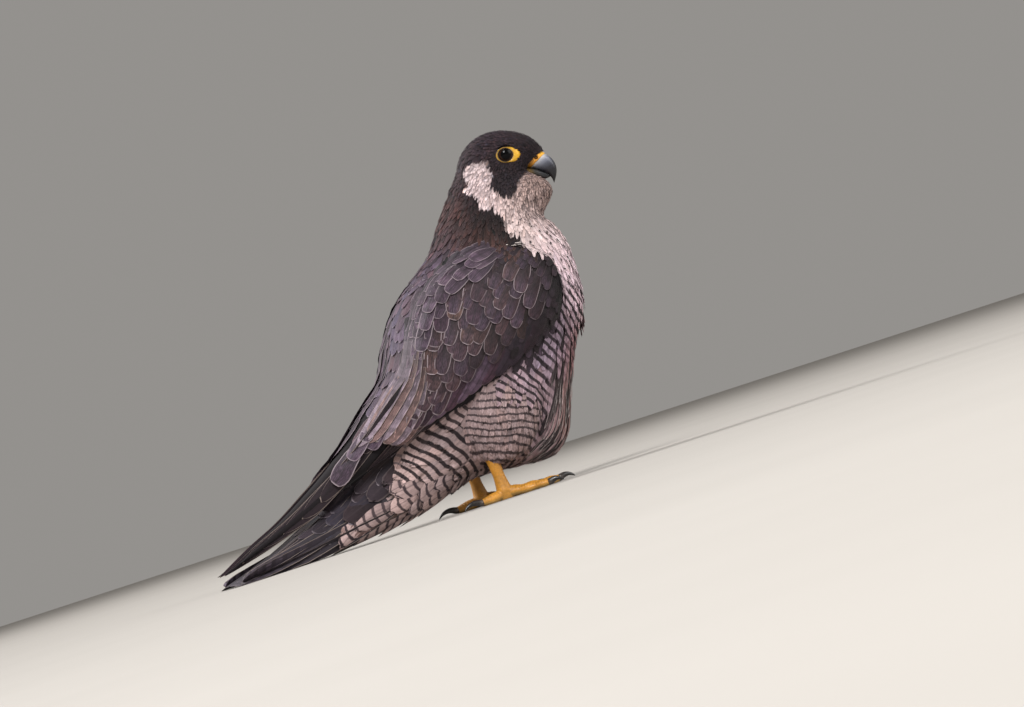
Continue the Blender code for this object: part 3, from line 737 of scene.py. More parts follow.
# bare parts of the face: the eye ring's reach from the eye's centre, and the lines that bound cere and bill
bareFace = {"eye": (90.0, 261.9), "tilt": -13.0, "back": 7.6, "tip": 12.8, "up": 5.9,
            "cereLine": ((118.0, 256.6), (101.8, 247.4)), "jawLine": ((101.6, 246.4), (116.0, 237.6))}


def clearOfFace(points, faces):
    # keeps feathers off the eye ring, the cere and the bill
    x, y, z = sideView(points)
    tilt = math.radians(bareFace["tilt"])
    dx, dz = x - bareFace["eye"][0], z - bareFace["eye"][1]
    along, up = dx * math.cos(tilt) + dz * math.sin(tilt), dz * math.cos(tilt) - dx * math.sin(tilt)
    share = np.clip(along / bareFace["tip"], 0, 1)
    high = np.where(along > 0, bareFace["up"] * (1 - share ** 4.6),
                    bareFace["up"] * np.sqrt(np.clip(1 - (along / bareFace["back"]) ** 2, 0, 1)))
    high = high * np.where(up > 0, 0.9, 1.0)  # the brow comes down over the ring
    ring = (np.abs(up) < high) & (y > 12)
    flat = np.stack([x, y, z], 1)
    mouth = (pastLine(flat, bareFace["cereLine"]) < 0) & (pastLine(flat, bareFace["jawLine"]) < 0) & (x > 101)
    socket = (faceNormals[faces][:, 1] * np.sign(points[:, 1]) < -0.3) & (np.hypot(dx, dz) < 10)
    return ~ring & ~mouth & ~socket


# the long loose feathers in front of a line on the belly: their size, how many are inky and how dark
bellyPlan = {"line": ((79.0, 128.0), (29.0, 14.0)), "longer": 0.2, "narrower": 0.45, "inkyShare": 0.58,
             "inky": 0.12, "paler": 0.2, "unbarred": 0.85}
# how many feathers of the throat and breast are dark streaks, how dark, and how many carry a dark drop
streakPlan = {"throat": 0.26, "breast": 0.07, "dark": 0.4, "drops": 0.25}


def bellyStrands(points, thigh):
    # how much the belly's loose feathers show at each place, dark and pale by turns
    plain = straightened(points)
    front = -pastLine(plain, bellyPlan["line"])
    return ramp(-4, 7, front) * (1 - ramp(88, 132, plain[:, 2])) * ~thigh


def bodyCoat(name, owners, material, spacing, keep, shape, darkFringe=0.12, vary=0.10, along=None, **style):
    roots, faces, thigh = scatterRoots(owners, spacing, keep)
    size = sizeAt(roots, thigh) * rng.normal(1, 0.08, (len(roots), 1))
    strandy = bellyStrands(roots, thigh)
    size = size * np.stack([1 + bellyPlan["longer"] * strandy, 1 - bellyPlan["narrower"] * strandy], 1)
    tip = (faceDepths[faces] * style.pop("tip", 1.0))[:, None, None, None]
    points, spread, down = growFeathers(roots, faces, lambda p: lieAt(p, thigh), size[:, 0], size[:, 1],
                                        shape, tip=tip, **style)
    count, rows, cols, _ = points.shape
    shown = points[:, -2, cols // 2]
    rootTone, pale, barred = markings(shown, thigh)
    tint = rng.normal(1, vary * (1.7 - 0.9 * pale), count)[:, None]
    warm = rng.normal(0, 0.02 + 0.08 * (1 - pale), count)[:, None] * np.array([1.0, 0.1, -0.6])
    colour = np.clip(rootTone * tint * (1 + warm), 0, 1)
    # each feather is darker towards its root, where others shade it, and least so where it is pale
    rootShade = (0.50 + 0.22 * pale)[:, None, None]
    colours = colour[:, None, None, :] * (rootShade + (1 - rootShade) * ramp(0.3, 0.95, down))[..., None]
    if along is None:
        across = barPlace(points.reshape(-1, 3), np.repeat(thigh, rows * cols))
        barPlaces = across.reshape(points.shape[:3]) + rng.normal(0, 0.15, (count, 1, 1))
    else:
        barPlaces = (1 - down) * size[:, 0][:, None, None] + rng.normal(0, along, (count, 1, 1))
    ahead, _, high = sideView(shown)
    inky = (strandy > rng.random(count)) & (rng.random(count) < bellyPlan["inkyShare"])
    paler = (1 + bellyPlan["paler"] * strandy)[:, None, None, None]
    colours = np.where(inky[:, None, None, None], colours * bellyPlan["inky"], colours * paler)
    barred = barred * (1 - bellyPlan["unbarred"] * strandy)
    onThroat = ramp(206, 214, high)
    streaked = pale * (ahead > 84) * (streakPlan["throat"] * onThroat * (1 - ramp(240, 244, high))
                                      + streakPlan["breast"] * ramp(150, 165, high) * (1 - onThroat))
    streaks = (rng.random(count) < streaked)[:, None, None, None]
    colours = np.where(streaks, colours * streakPlan["dark"], colours)
    speckled = pale * ramp(120, 150, high) * (1 - ramp(220, 228, high)) * (ahead > 50)
    spotted = (rng.random(count) < streakPlan["drops"] * speckled) * 1.0
    barredBy = barred * rng.uniform(0.9, 1.0, count)
    fringed = rng.uniform(0.2, 0.8, count) * (darkFringe + (1 - darkFringe) * pale)
    fringed = fringed * (1 - ramp(0.1, 0.6, barred))
    marks = {"barred": barredBy[:, None, None], "barPlace": barPlaces, "fringed": fringed[:, None, None],
             "spotted": spotted[:, None, None]}
    mesh = coatMesh(name, points, spread, down, faces, colours, marks)
    return addPiece(name, mesh, material, "pale_plumage")


def everywhere(points, faces):
    return np.ones(len(points), bool)


def frontOnly(points, faces):
    _, pale, _ = markings(points, np.zeros(len(points), bool))
    return pale > 0.5


def backOnly(points, faces):
    return ~frontOnly(points, faces)


def topOfTail(points, faces):
    return backOnly(points, faces) & (points[:, 0] > -150)


# spacing is the gap between feathers as a part of their width and length; tip is how far they rise, as a part
# of the skin's depth; fray, comb, sway and vary are how uneven their rims, tips, ways and tones are
coatPlans = {
    "head": {"owners": ["head"], "material": hoodFeathers, "spacing": (0.60, 0.38), "keep": clearOfFace,
             "shape": downShape, "cols": 5, "tip": 0.9, "fray": 0.16, "comb": 0.14, "vary": 0.2,
             "camber": 0.04, "darkFringe": 0.3},
    "neck": {"owners": ["neck"], "material": breastFeathers, "spacing": (0.56, 0.34), "keep": everywhere,
             "shape": lockShape, "cols": 9, "tip": 0.75, "fray": 0.16, "comb": 0.10, "vary": 0.2,
             "camber": 0.05, "darkFringe": 0.06},
    "front": {"owners": ["trunk"], "material": breastFeathers, "spacing": (0.54, 0.28), "keep": frontOnly,
              "shape": lockShape, "cols": 9, "tip": 0.85, "fray": 0.18, "comb": 0.08, "vary": 0.17,
              "root": 0.3, "camber": 0.04, "sway": 0.07},
    "thighs": {"owners": ["thigh_left", "thigh_right"], "material": thighFeathers, "spacing": (0.5, 0.36),
               "keep": everywhere, "shape": lockShape, "cols": 9, "tip": 1.0, "fray": 0.18, "comb": 0.08,
               "root": 0.3, "camber": 0.05, "sway": 0.07},
    "back": {"owners": ["trunk"], "material": backFeathers, "spacing": (0.52, 0.36), "keep": backOnly,
             "shape": contourShape, "cols": 7, "tip": 0.7, "fray": 0.03, "sway": 0.08, "darkFringe": 0.8},
    "undertail": {"owners": ["tail"], "material": tailCoverts, "spacing": (0.55, 0.36), "keep": frontOnly,
                  "shape": contourShape, "cols": 9, "tip": 1.4, "fray": 0.06, "sway": 0.08, "along": 0.6},
    "rump": {"owners": ["tail"], "material": backFeathers, "spacing": (0.52, 0.36), "keep": topOfTail,
             "shape": contourShape, "cols": 7, "tip": 1.0, "fray": 0.03, "sway": 0.06, "darkFringe": 0.8},
}
for name, plan in coatPlans.items():
    bodyCoat(f"coat_{name}", **plan)

# the few feathers that stand away from the rest: on the near shoulder, and at the front of the breast
looseTufts = [
    {"name": "shoulder", "at": (55, -38, 186), "apart": 2.2, "lie": (0.85, -0.25, -0.4), "count": 13,
     "long": 7.5, "wide": 1.9, "lift": 2.4, "tones": ("c3b7b2", "171114")},
    {"name": "breast", "at": (113, -6, 124), "apart": 2.4, "lie": (0.25, -0.2, -1.0), "count": 16,
     "long": 15.0, "wide": 3.4, "lift": 5.0, "tones": ("c2abae", "5b474b")},
]


def growTuft(tuft):
    count = tuft["count"]
    roots, faces = onSkin(np.array(tuft["at"]) + rng.normal(0, tuft["apart"], (count, 3)))
    lie = unit(np.array(tuft["lie"]) + rng.normal(0, 0.12, (count, 3)))
    long = tuft["long"] * rng.normal(1, 0.12, count)
    points, spread, down = growFeathers(roots, faces, lie, long, np.full(count, tuft["wide"]), lockShape,
                                        cols=7, root=0.8, tip=tuft["lift"], fray=0.2, comb=0.1, wrap=False)
    pale, dark = (np.array(tone(code)) for code in tuft["tones"])
    colour = np.where(rng.random((count, 1)) < 0.6, pale, dark) * rng.normal(1, 0.1, (count, 1))
    colours = np.broadcast_to(colour[:, None, None, :], points.shape)
    marks = {key: np.zeros((count, 1, 1)) for key in ("barred", "barPlace", "fringed", "spotted")}
    mesh = coatMesh(f"tuft_{tuft['name']}", points, spread, down, faces, colours, marks)
    addPiece(f"tuft_{tuft['name']}", mesh, breastFeathers, "pale_plumage")


for tuft in looseTufts:
    growTuft(tuft)
print("body coat is grown")


# rings of the folded wing from wrist to tip: upper edge, lower edge, how far out, half its thickness
wingRings = [
    {"top": (84.5, 169.5), "low": (86.5, 155.0), "out": 47.0, "half": 6.0},
    {"top": (78.6, 180.5), "low": (84.5, 139.6), "out": 44.5, "half": 13.0},
    {"top": (61.0, 191.0), "low": (74.0, 123.0), "out": 41.5, "half": 19.5},
    {"top": (37.2, 196.0), "low": (51.5, 107.0), "out": 37.0, "half": 25.0},
    {"top": (10.6, 194.5), "low": (24.0, 92.5), "out": 33.0, "half": 29.0},
    {"top": (-13.8, 185.5), "low": (-2.0, 84.5), "out": 30.5, "half": 30.5},
    {"top": (-34.0, 167.0), "low": (-26.1, 77.0), "out": 28.5, "half": 30.0},
    {"top": (-48.0, 145.0), "low": (-47.2, 71.5), "out": 26.5, "half": 27.5},
    {"top": (-59.5, 123.0), "low": (-67.0, 68.0), "out": 24.0, "half": 24.0},
    {"top": (-81.0, 105.5), "low": (-87.0, 60.5), "out": 21.5, "half": 20.5},
    {"top": (-103.0, 87.0), "low": (-108.0, 53.5), "out": 19.5, "half": 17.0},
    {"top": (-129.0, 68.5), "low": (-132.0, 45.5), "out": 17.0, "half": 13.5},
    {"top": (-157.0, 52.5), "low": (-158.0, 36.0), "out": 15.0, "half": 10.5},
    {"top": (-185.0, 38.0), "low": (-185.0, 27.0), "out": 13.0, "half": 7.5},
    {"top": (-216.0, 25.5), "low": (-214.5, 18.0), "out": 11.5, "half": 4.5},
    {"top": (-245.0, 12.5), "low": (-244.0, 10.3), "out": 10.0, "half": 1.5},
]


def ringAt(rings, t, angle, square=2.2, side=1):
    # a point of a smooth hull through rings: t counts rings, angle runs from the top over the side
    t, angle = np.broadcast_arrays(np.asarray(t, float), np.asarray(angle, float))
    table = np.array([[*ring["top"], *ring["low"], ring.get("out", 0.0), ring["half"]] for ring in rings])
    last = len(rings) - 1
    i = np.clip(t.astype(int), 0, last - 1)
    f = (t - i)[..., None]
    a, b = table[i], table[i + 1]
    before, after = table[np.maximum(i - 1, 0)], table[np.minimum(i + 2, last)]
    value = 0.5 * (2 * a + (b - before) * f + (2 * before - 5 * a + 4 * b - after) * f**2
                   + (3 * a - before - 3 * b + after) * f**3)
    c, s = np.cos(angle), np.sin(angle)
    up = np.sign(c) * np.abs(c) ** (2 / square)
    across = np.sign(s) * np.abs(s) ** (2 / square)
    x = (value[..., 0] + value[..., 2]) / 2 + (value[..., 0] - value[..., 2]) / 2 * up
    z = (value[..., 1] + value[..., 3]) / 2 + (value[..., 1] - value[..., 3]) / 2 * up
    return np.stack([x, side * (value[..., 4] + value[..., 5] * across), z], -1)


class WingField:
    # finds, for a place on a wing, which way lies towards its tip and which towards its lower edge
    def __init__(self, side):
        self.side = side
        t, a = np.meshgrid(np.arange(0, 15.01, 0.12), np.linspace(0.02, 0.98, 25) * math.pi, indexing="ij")
        self.t, self.a = t.ravel(), a.ravel()
        self.places = self.at(self.t, self.a)
        self.tipward = unit(self.at(self.t + 0.05, self.a) - self.at(self.t - 0.05, self.a))
        self.downward = unit(self.at(self.t, self.a + 0.03) - self.at(self.t, self.a - 0.03))

    def at(self, t, a):
        return ringAt(wingRings, np.clip(t, 0, 15), a, side=self.side)

    def lie(self, points, slant):
        nearest = np.argmin(((points[:, None] - self.places) ** 2).sum(2), 1)
        along, down = np.cos(slant)[:, None], np.sin(slant)[:, None]
        return unit(self.tipward[nearest] * along + self.downward[nearest] * down)


wings = {name: WingField(side) for name, side in sides.items()}
wingTones = {key: np.array(tone(code)) for key, code in {
    "slate": "3b2934", "brown": "4e3a35", "blueGrey": "4a3b49", "sooty": "23181e", "ash": "584653",
    "umber": "2d1e23"}.items()}

# each tract lies between these rings and heights; slant is how far its feathers point below the wing's line
wingTracts = [
    {"name": "lesser", "rings": (0.1, 3.4), "across": (0.0, 0.92), "long": (12, 24), "wide": (5.0, 9.5),
     "slant": 38, "lift": (0.4, 1.6), "tones": ("sooty", "umber"), "step": 0.42, "fringe": 0.2},
    {"name": "median", "rings": (2.2, 7.6), "across": (0.22, 0.58), "long": (30, 40), "wide": (12, 14.5),
     "slant": 38, "lift": (1.0, 2.4), "tones": ("brown", "slate"), "step": 0.43, "fringe": 0.8},
    {"name": "scapular", "rings": (2.9, 10.4), "across": (-0.08, 0.27), "long": (24, 44), "wide": (11, 17),
     "slant": 16, "lift": (1.8, 3.5), "tones": ("ash", "blueGrey"), "step": 0.40, "fringe": 0.75},
]
vaneShape = {"rows": (0.0, 0.2, 0.4, 0.56, 0.70, 0.81, 0.90, 0.96, 1.0),
             "fill": (0.45, 0.8, 0.97, 1.0, 0.99, 0.94, 0.84, 0.68, 0.40), "arc": 0.06}
quillShape = {"rows": (0.0, 0.12, 0.25, 0.38, 0.5, 0.62, 0.74, 0.84, 0.91, 0.96, 0.985, 1.0),
              "fill": (0.5, 0.8, 0.95, 1.0, 1.0, 1.0, 0.98, 0.91, 0.78, 0.58, 0.38, 0.16), "arc": 0.05}


def vaneTones(base, down, spread, heart):
    # darker towards the root, painted shade where the feathers overlap, and darker along the middle than at
    # the rims, with a blue-grey bloom in the middle of the tip half
    shade = (0.36 + 0.64 * ramp(0.25, 0.98, down)) * (0.84 + 0.3 * np.abs(spread))
    bloom = heart[:, None, None] * ramp(0.35, 0.75, down) * (1 - ramp(0.3, 0.95, np.abs(spread)))
    colour = base[:, None, None, :] * (1 - bloom[..., None]) + wingTones["blueGrey"] * bloom[..., None]
    return np.clip(colour * shade[..., None], 0, 1)


def tractRoots(field, tract):
    # rows across the wing, each half a feather out of step with the one before
    first, last = tract["rings"]
    t, rows = first, 0
    places = []
    while t < last:
        share = (t - first) / (last - first)
        long = tract["long"][0] + (tract["long"][1] - tract["long"][0]) * share
        wide = tract["wide"][0] + (tract["wide"][1] - tract["wide"][0]) * share
        a0, a1 = (part * math.pi for part in tract["across"])
        span = field.at(np.array([t, t]), np.array([a0, a1]))
        arc = np.linalg.norm(span[1] - span[0]) * 1.15
        count = max(1, int(arc / (wide * 0.66)))
        for k in range(count):
            a = a0 + (a1 - a0) * (k + 0.5 * (rows % 2) + 0.25) / count
            places.append((t + rng.normal(0, 0.05), a + rng.normal(0, 0.012), long, wide))
        ahead = np.linalg.norm(field.at(t + 0.1, (a0 + a1) / 2) - field.at(t, (a0 + a1) / 2)) * 10
        t += long * tract["step"] / ahead
        rows += 1
    return np.array(places)


def growTract(field, tract):
    places = tractRoots(field, tract)
    roots, faces = onSkin(field.at(places[:, 0], places[:, 1]))
    count = len(roots)
    slant = np.radians(tract["slant"] + rng.normal(0, 3, count))
    long = places[:, 2] * rng.normal(1, 0.05, count)
    wide = places[:, 3] * rng.normal(1, 0.05, count)
    # past the wing's upper edge they lie flat on the back
    lie = (0.25 + 0.75 * ramp(-0.06, 0.08, places[:, 1] / math.pi))[:, None, None, None]
    rootLift, tipLift = tract["lift"]
    points, spread, down = growFeathers(roots, faces, lambda p: field.lie(p, slant), long, wide, vaneShape,
                                        cols=9, root=rootLift, tip=tipLift * lie, camber=0.11, sway=0.03,
                                        fray=0.012, wrap=False, rachis=0.15)
    mix = np.clip(rng.normal(0.5, 0.33, count), 0, 1)[:, None]
    one, other = (wingTones[key] for key in tract["tones"])
    # towards the lower edge the wing is darker, as painted shade, and behind the wrist it is also plain and
    # dark, reaching higher; both dim the pale rims
    low = np.maximum(ramp(0.54, 0.80, places[:, 1] / math.pi),
                     ramp(0.46, 0.58, places[:, 1] / math.pi) * (1 - ramp(4.2, 5.2, places[:, 0])))
    colour = (one * (1 - mix) + other * mix) * rng.normal(1, 0.25, (count, 1)) * (1 - 0.5 * low)[:, None]
    return {"points": points, "spread": spread, "down": down, "faces": faces, "colour": colour,
            "fringe": tract["fringe"] * rng.uniform(0.4, 1.0, count) * (1 - 0.85 * low),
            "barred": rng.uniform(0.0, 0.4, count), "long": long, "heart": rng.uniform(0.0, 1.0, count)}


# the places across a long feather, closest at the shaft
bladeAcross = np.array([-1, -0.82, -0.5, -0.12, 0, 0.12, 0.5, 0.82, 1.0])
shaftColumn = 4  # which of them runs along the shaft


def bladeLength(line):
    return np.linalg.norm(np.diff(line, axis=0), axis=1).sum()


def bladeSet(blades, down, rootRow, tones, vary, fringe, barred):
    # blades of one tract, each given by its places, its length and which way is outward along it
    points, long, outward = (np.array(part) for part in zip(*blades))
    count = len(points)
    _, faces = onSkin(points[:, rootRow, shaftColumn])
    return {"points": points, "spread": np.broadcast_to(bladeAcross, points.shape[:3]),
            "down": np.broadcast_to(down[:, None], points.shape[:3]), "faces": faces,
            "colour": tones * rng.normal(1, vary, (count, 1)), "fringe": np.full(count, fringe),
            "barred": np.full(count, barred), "long": long, "outward": outward}


# long feathers, each from a root to a tip given by ring and height across the wing; each next one starts and
# ends a step further on, tones take turns, and the first few of a set can be dull
quillSets = [
    {"name": "secondaries", "count": 10, "root": (3.0, 0.60), "rootStep": (0.44, 0.0), "tip": (5.6, 0.985),
     "tipStep": (0.50, -0.008), "wide": 14.5, "lift": -1.4, "liftStep": -0.05, "layers": 10,
     "tones": (wingTones["sooty"],), "gain": 1.4, "fringe": 0.8, "dull": 0},
    {"name": "greater coverts", "count": 11, "root": (2.2, 0.60), "rootStep": (0.48, 0.0), "tip": (3.5, 0.84),
     "tipStep": (0.52, -0.006), "wide": 13.0, "lift": -0.5, "liftStep": -0.1, "layers": 2,
     "tones": (wingTones["slate"], wingTones["blueGrey"], wingTones["blueGrey"]), "gain": 2.3, "fringe": 1.0,
     "dull": 3},
    {"name": "tertials", "count": 6, "root": (6.0, 0.08), "rootStep": (0.3, 0.06), "tip": (10.4, 0.27),
     "tipStep": (-0.3, 0.10), "wide": 19.0, "lift": 1.5, "liftStep": -0.25, "layers": 6,
     "tones": (np.array(tone("80707b")), np.array(tone("755c5a"))), "gain": 1.0, "fringe": 0.9, "dull": 0},
]
dullQuill = {"gain": 0.6, "fringe": 0.15}


def growQuill(field, plan, k):
    v = np.array(quillShape["rows"])
    s = bladeAcross[None, :]
    fill = np.array(quillShape["fill"])
    root, tip = (np.array(plan[end]) + np.array(plan[f"{end}Step"]) * k for end in ("root", "tip"))
    t, a = root[0] + (tip[0] - root[0]) * v, (root[1] + (tip[1] - root[1]) * v) * math.pi
    line = field.at(t, a)
    way = unit(np.gradient(line, axis=0))
    outward = unit(np.cross(way, field.at(t, a + 0.05) - field.at(t, a - 0.05)) * -field.side)
    across = unit(np.cross(outward, way))
    half = plan["wide"] / 2
    points = line[:, None] + across[:, None] * (s[..., None] * half * fill[:, None, None])
    points = points - way[:, None] * (quillShape["arc"] * half * s[..., None] ** 2 * v[:, None, None] ** 3)
    lift = plan["lift"] + plan["liftStep"] * (k % plan["layers"])
    lift = lift - 0.13 * half * s ** 2 * fill[:, None] + 0.2 * np.exp(-(s / 0.1) ** 2)
    lift = lift - 3.0 * (1 - ramp(0.0, 0.34, v))[:, None]  # the roots lie under other feathers
    return points + outward[:, None] * lift[..., None], bladeLength(line), outward


def growQuills(field):
    blades, tones, fringe = [], [], []
    for plan in quillSets:
        for k in range(plan["count"]):
            blades.append(growQuill(field, plan, k))
            look = dullQuill if k < plan["dull"] else plan
            tones.append(plan["tones"][k % len(plan["tones"])] * look["gain"])
            fringe.append(look["fringe"])
    return bladeSet(blades, np.array(quillShape["rows"]), 1, np.array(tones), 0.07, fringe, 0.3)


# tips and roots in rings of the wing, the rest in mm; layer is how much deeper each next blade lies
primaryPlan = {"count": 8, "firstTip": 10.3, "lastTip": 14.95, "rootRing": 7.9, "stagger": 0.25, "wide": 17.0,
               "depth": 0.8, "layer": 0.55, "rootDepth": 4.0, "taperFrom": 0.72}


def growPrimaries(field):
    # a stack of blades that thins to the wing's tip: the shortest lies outermost
    v = np.linspace(0, 1, 22)
    s = bladeAcross[None, :]
    blades = []
    for k in range(primaryPlan["count"]):
        share = k / (primaryPlan["count"] - 1)
        tipRing = primaryPlan["firstTip"] + (primaryPlan["lastTip"] - primaryPlan["firstTip"]) * share ** 0.85
        stagger = primaryPlan["stagger"] * k
        t = primaryPlan["rootRing"] + stagger + (tipRing - primaryPlan["rootRing"] - stagger) * v
        top, middle, low = (field.at(t, part * math.pi) for part in (0, 0.5, 1))
        height = np.linalg.norm(top - low, axis=1)
        across = unit(low - top)
        way = unit(np.gradient(middle, axis=0))
        outward = unit(np.cross(way, across) * -field.side)
        wide = np.minimum(primaryPlan["wide"], height + 1.0)
        past = (v - primaryPlan["taperFrom"]) / 0.285
        taper = np.where(past < 0, 1.0, np.sqrt(np.clip(1 - past ** 2, 0.0, 1)) * 0.94 + 0.06)
        half = wide / 2 * taper
        # the upper edges run together along the top of the wing
        centre = middle - across * ((height - wide) / 2 * 0.8 - (wide / 2 - half) * 0.1)[:, None]
        depth = primaryPlan["depth"] + primaryPlan["layer"] * k
        # the roots lie deep under the tertials
        depth = depth + primaryPlan["rootDepth"] * (1 - ramp(0.0, 0.4, v))
        inwards = np.minimum(depth, np.abs(middle[:, 1] - field.side * 2.0) * 0.8)
        points = centre[:, None] + across[:, None] * (s[..., None] * half[:, None, None])
        lift = -inwards[:, None] - 0.09 * half[:, None] * s ** 2 + 0.18 * np.exp(-(s / 0.1) ** 2)
        blades.append((points + outward[:, None] * lift[..., None], bladeLength(middle), outward))
    return bladeSet(blades, v, 4, wingTones["sooty"], 0.06, 1.0, 0.0)


quillThickness = 0.35  # at the shaft, in mm; it runs out to nothing at the rim


def quillMesh(name, grown):
    # flight feathers get an underside, so that they are thin solids with a sharp rim
    points, spread, down = (grown[key] for key in ("points", "spread", "down"))
    tones = vaneTones(grown["colour"], down, spread, grown.get("heart", np.zeros(len(points))))
    numbers = {"barred": grown["barred"], "fringed": grown["fringe"], "spotted": np.zeros(len(points)),
               "fromTip": (1 - down) * grown["long"][:, None, None]}
    faces = grown["faces"]
    if "outward" in grown:
        thick = quillThickness * (1 - spread ** 2) * (1 - down ** 6)
        below = points - grown["outward"][:, :, None, :] * thick[..., None]
        points = np.concatenate([points, below[:, :, ::-1]])
        spread = np.concatenate([spread, spread[:, :, ::-1]])
        down = np.concatenate([down, down])
        tones = np.concatenate([tones, np.clip(tones[:, :, ::-1] * 2.0, 0, 1)])
        numbers = {key: np.concatenate([value, value]) for key, value in numbers.items()}
        faces = np.concatenate([faces, faces])
    marks = {key: numbers[key][:, None, None] for key in ("barred", "fringed", "spotted")}
    marks["barPlace"] = numbers["fromTip"]
    return coatMesh(name, points, spread, down, faces, tones, marks)


# coverts: firm dark feathers worn pale at the rims, with a low shine and barbs that show as streaks
covertFeathers = plumageMaterial("slate-brown covert feathers", {
    **plainLook, "fringeTone": "9f9196", "fringe": 0.07, "tipFringe": 0.03, "shaft": 0.028,
    "shaftDepth": 0.75, "shaftTone": "262024", "barSpacing": 9.0, "barWidth": 0.4, "barTone": "2a2227",
    "blotch": 0.24, "roughness": 0.55, "barbs": 64.0, "raggedBar": 3.0, "strands": 20.0, "streak": 0.52})
# flight feathers: the stiffest and flattest, with near-black webs, a thin pale rim and a smooth even grain
stiffLook = {**plainLook, "fringe": 0.03, "tipFringe": 0.012, "shaft": 0.022, "blotch": 0.10, "barbs": 120.0,
             "barbSlant": 0.3, "strands": 24.0, "sheen": 0.03}
quillFeathers = plumageMaterial("stiff flight feathers", {
    **stiffLook, "fringeTone": "7f716b", "shaftDepth": 0.6, "shaftTone": "1c171a", "barSpacing": 12.0,
    "barWidth": 0.4, "barTone": "2c2529", "roughness": 0.58, "raggedBar": 2.0, "streak": 0.28})

for sideName, field in wings.items():
    for tract in wingTracts:
        grown = growTract(field, tract)
        addPiece(f"{tract['name']}_feathers_{sideName}", quillMesh(f"{tract['name']}_{sideName}", grown),
                 covertFeathers, "slate_plumage")
    addPiece(f"flight_feathers_{sideName}", quillMesh(f"flight_{sideName}", growQuills(field)), quillFeathers,
             "slate_plumage")
    addPiece(f"primaries_{sideName}", quillMesh(f"primaries_{sideName}", growPrimaries(field)), quillFeathers,
             "slate_plumage")
print("wings are feathered")

# tail: its rings run from the rump to the tip, and its feathers lie along them
tailRings = [
    {"top": (-116.0, 59.5), "low": (-18.0, 24.0), "half": 26.0},
    {"top": (-128.0, 50.5), "low": (-46.0, 15.5), "half": 25.0},
    {"top": (-148.0, 39.0), "low": (-80.0, 7.5), "half": 24.5},
    {"top": (-172.0, 27.5), "low": (-120.0, 3.2), "half": 25.0},
    {"top": (-198.0, 17.0), "low": (-162.0, 0.8), "half": 27.0},
    {"top": (-220.0, 9.5), "low": (-200.0, 0.0), "half": 28.5},
    {"top": (-234.0, 5.0), "low": (-226.0, 0.0), "half": 29.0},
    {"top": (-241.0, 2.6), "low": (-239.0, 0.0), "half": 25.0},
]
# feathers of one side: where each crosses the rings, as parts of a half turn from the top
tailPlan = {"across": (0.06, 0.17, 0.27, 0.37, 0.46, 0.56, 0.68, 0.80),
            "tip": (6.95, 6.9, 6.85, 6.75, 6.6, 6.5, 6.3, 6.1), "wide": 18.0, "root": 1.4, "layer": 0.22,
            "tone": "443c45", "fill": ((0, 0.3, 0.8, 0.9, 0.96, 1.0), (0.6, 1.0, 1.0, 0.86, 0.6, 0.16))}


def growTail(side):
    v = np.array([0, 0.1, 0.2, 0.3, 0.4, 0.5, 0.6, 0.7, 0.8, 0.87, 0.93, 0.97, 1.0])
    s = bladeAcross[None, :]
    blades = []
    for k, (part, tip) in enumerate(zip(tailPlan["across"], tailPlan["tip"])):
        t = tailPlan["root"] + (tip - tailPlan["root"]) * v
        a = np.full_like(t, part * math.pi)
        line = ringAt(tailRings, t, a, side=side)
        way = unit(np.gradient(line, axis=0))
        tangent = ringAt(tailRings, t, a + 0.03, side=side) - ringAt(tailRings, t, a - 0.03, side=side)
        outward = unit(np.cross(way, tangent) * -side)
        across = unit(np.cross(outward, way))
        half = tailPlan["wide"] / 2 * np.interp(v, *tailPlan["fill"])
        points = line[:, None] + across[:, None] * (s[..., None] * half[:, None, None])
        lift = -0.5 - tailPlan["layer"] * k - 0.05 * half[:, None] * s ** 2 + 0.18 * np.exp(-(s / 0.1) ** 2)
        points = points + outward[:, None] * lift[..., None]
        points[..., 2] = np.maximum(points[..., 2], overFloor)
        blades.append((points, bladeLength(line), outward))
    return bladeSet(blades, v, 4, np.array(tone(tailPlan["tone"])), 0.06, 0.9, 0.8)


# tail: as stiff and flat as the flight feathers, a little smoother, with blue-grey bars
tailFeathers = plumageMaterial("barred tail feathers", {
    **stiffLook, "fringeTone": "85776f", "shaftDepth": 0.7, "shaftTone": "241e21", "barSpacing": 10.5,
    "barWidth": 0.42, "barTone": "2f292f", "roughness": 0.5, "raggedBar": 1.5, "chevron": 4.0,
    "streak": 0.10})
for name, side in sides.items():
    mesh = quillMesh(f"tail_{name}", growTail(side))
    addPiece(f"tail_feathers_{name}", mesh, tailFeathers, "slate_plumage")
print("tail is feathered")


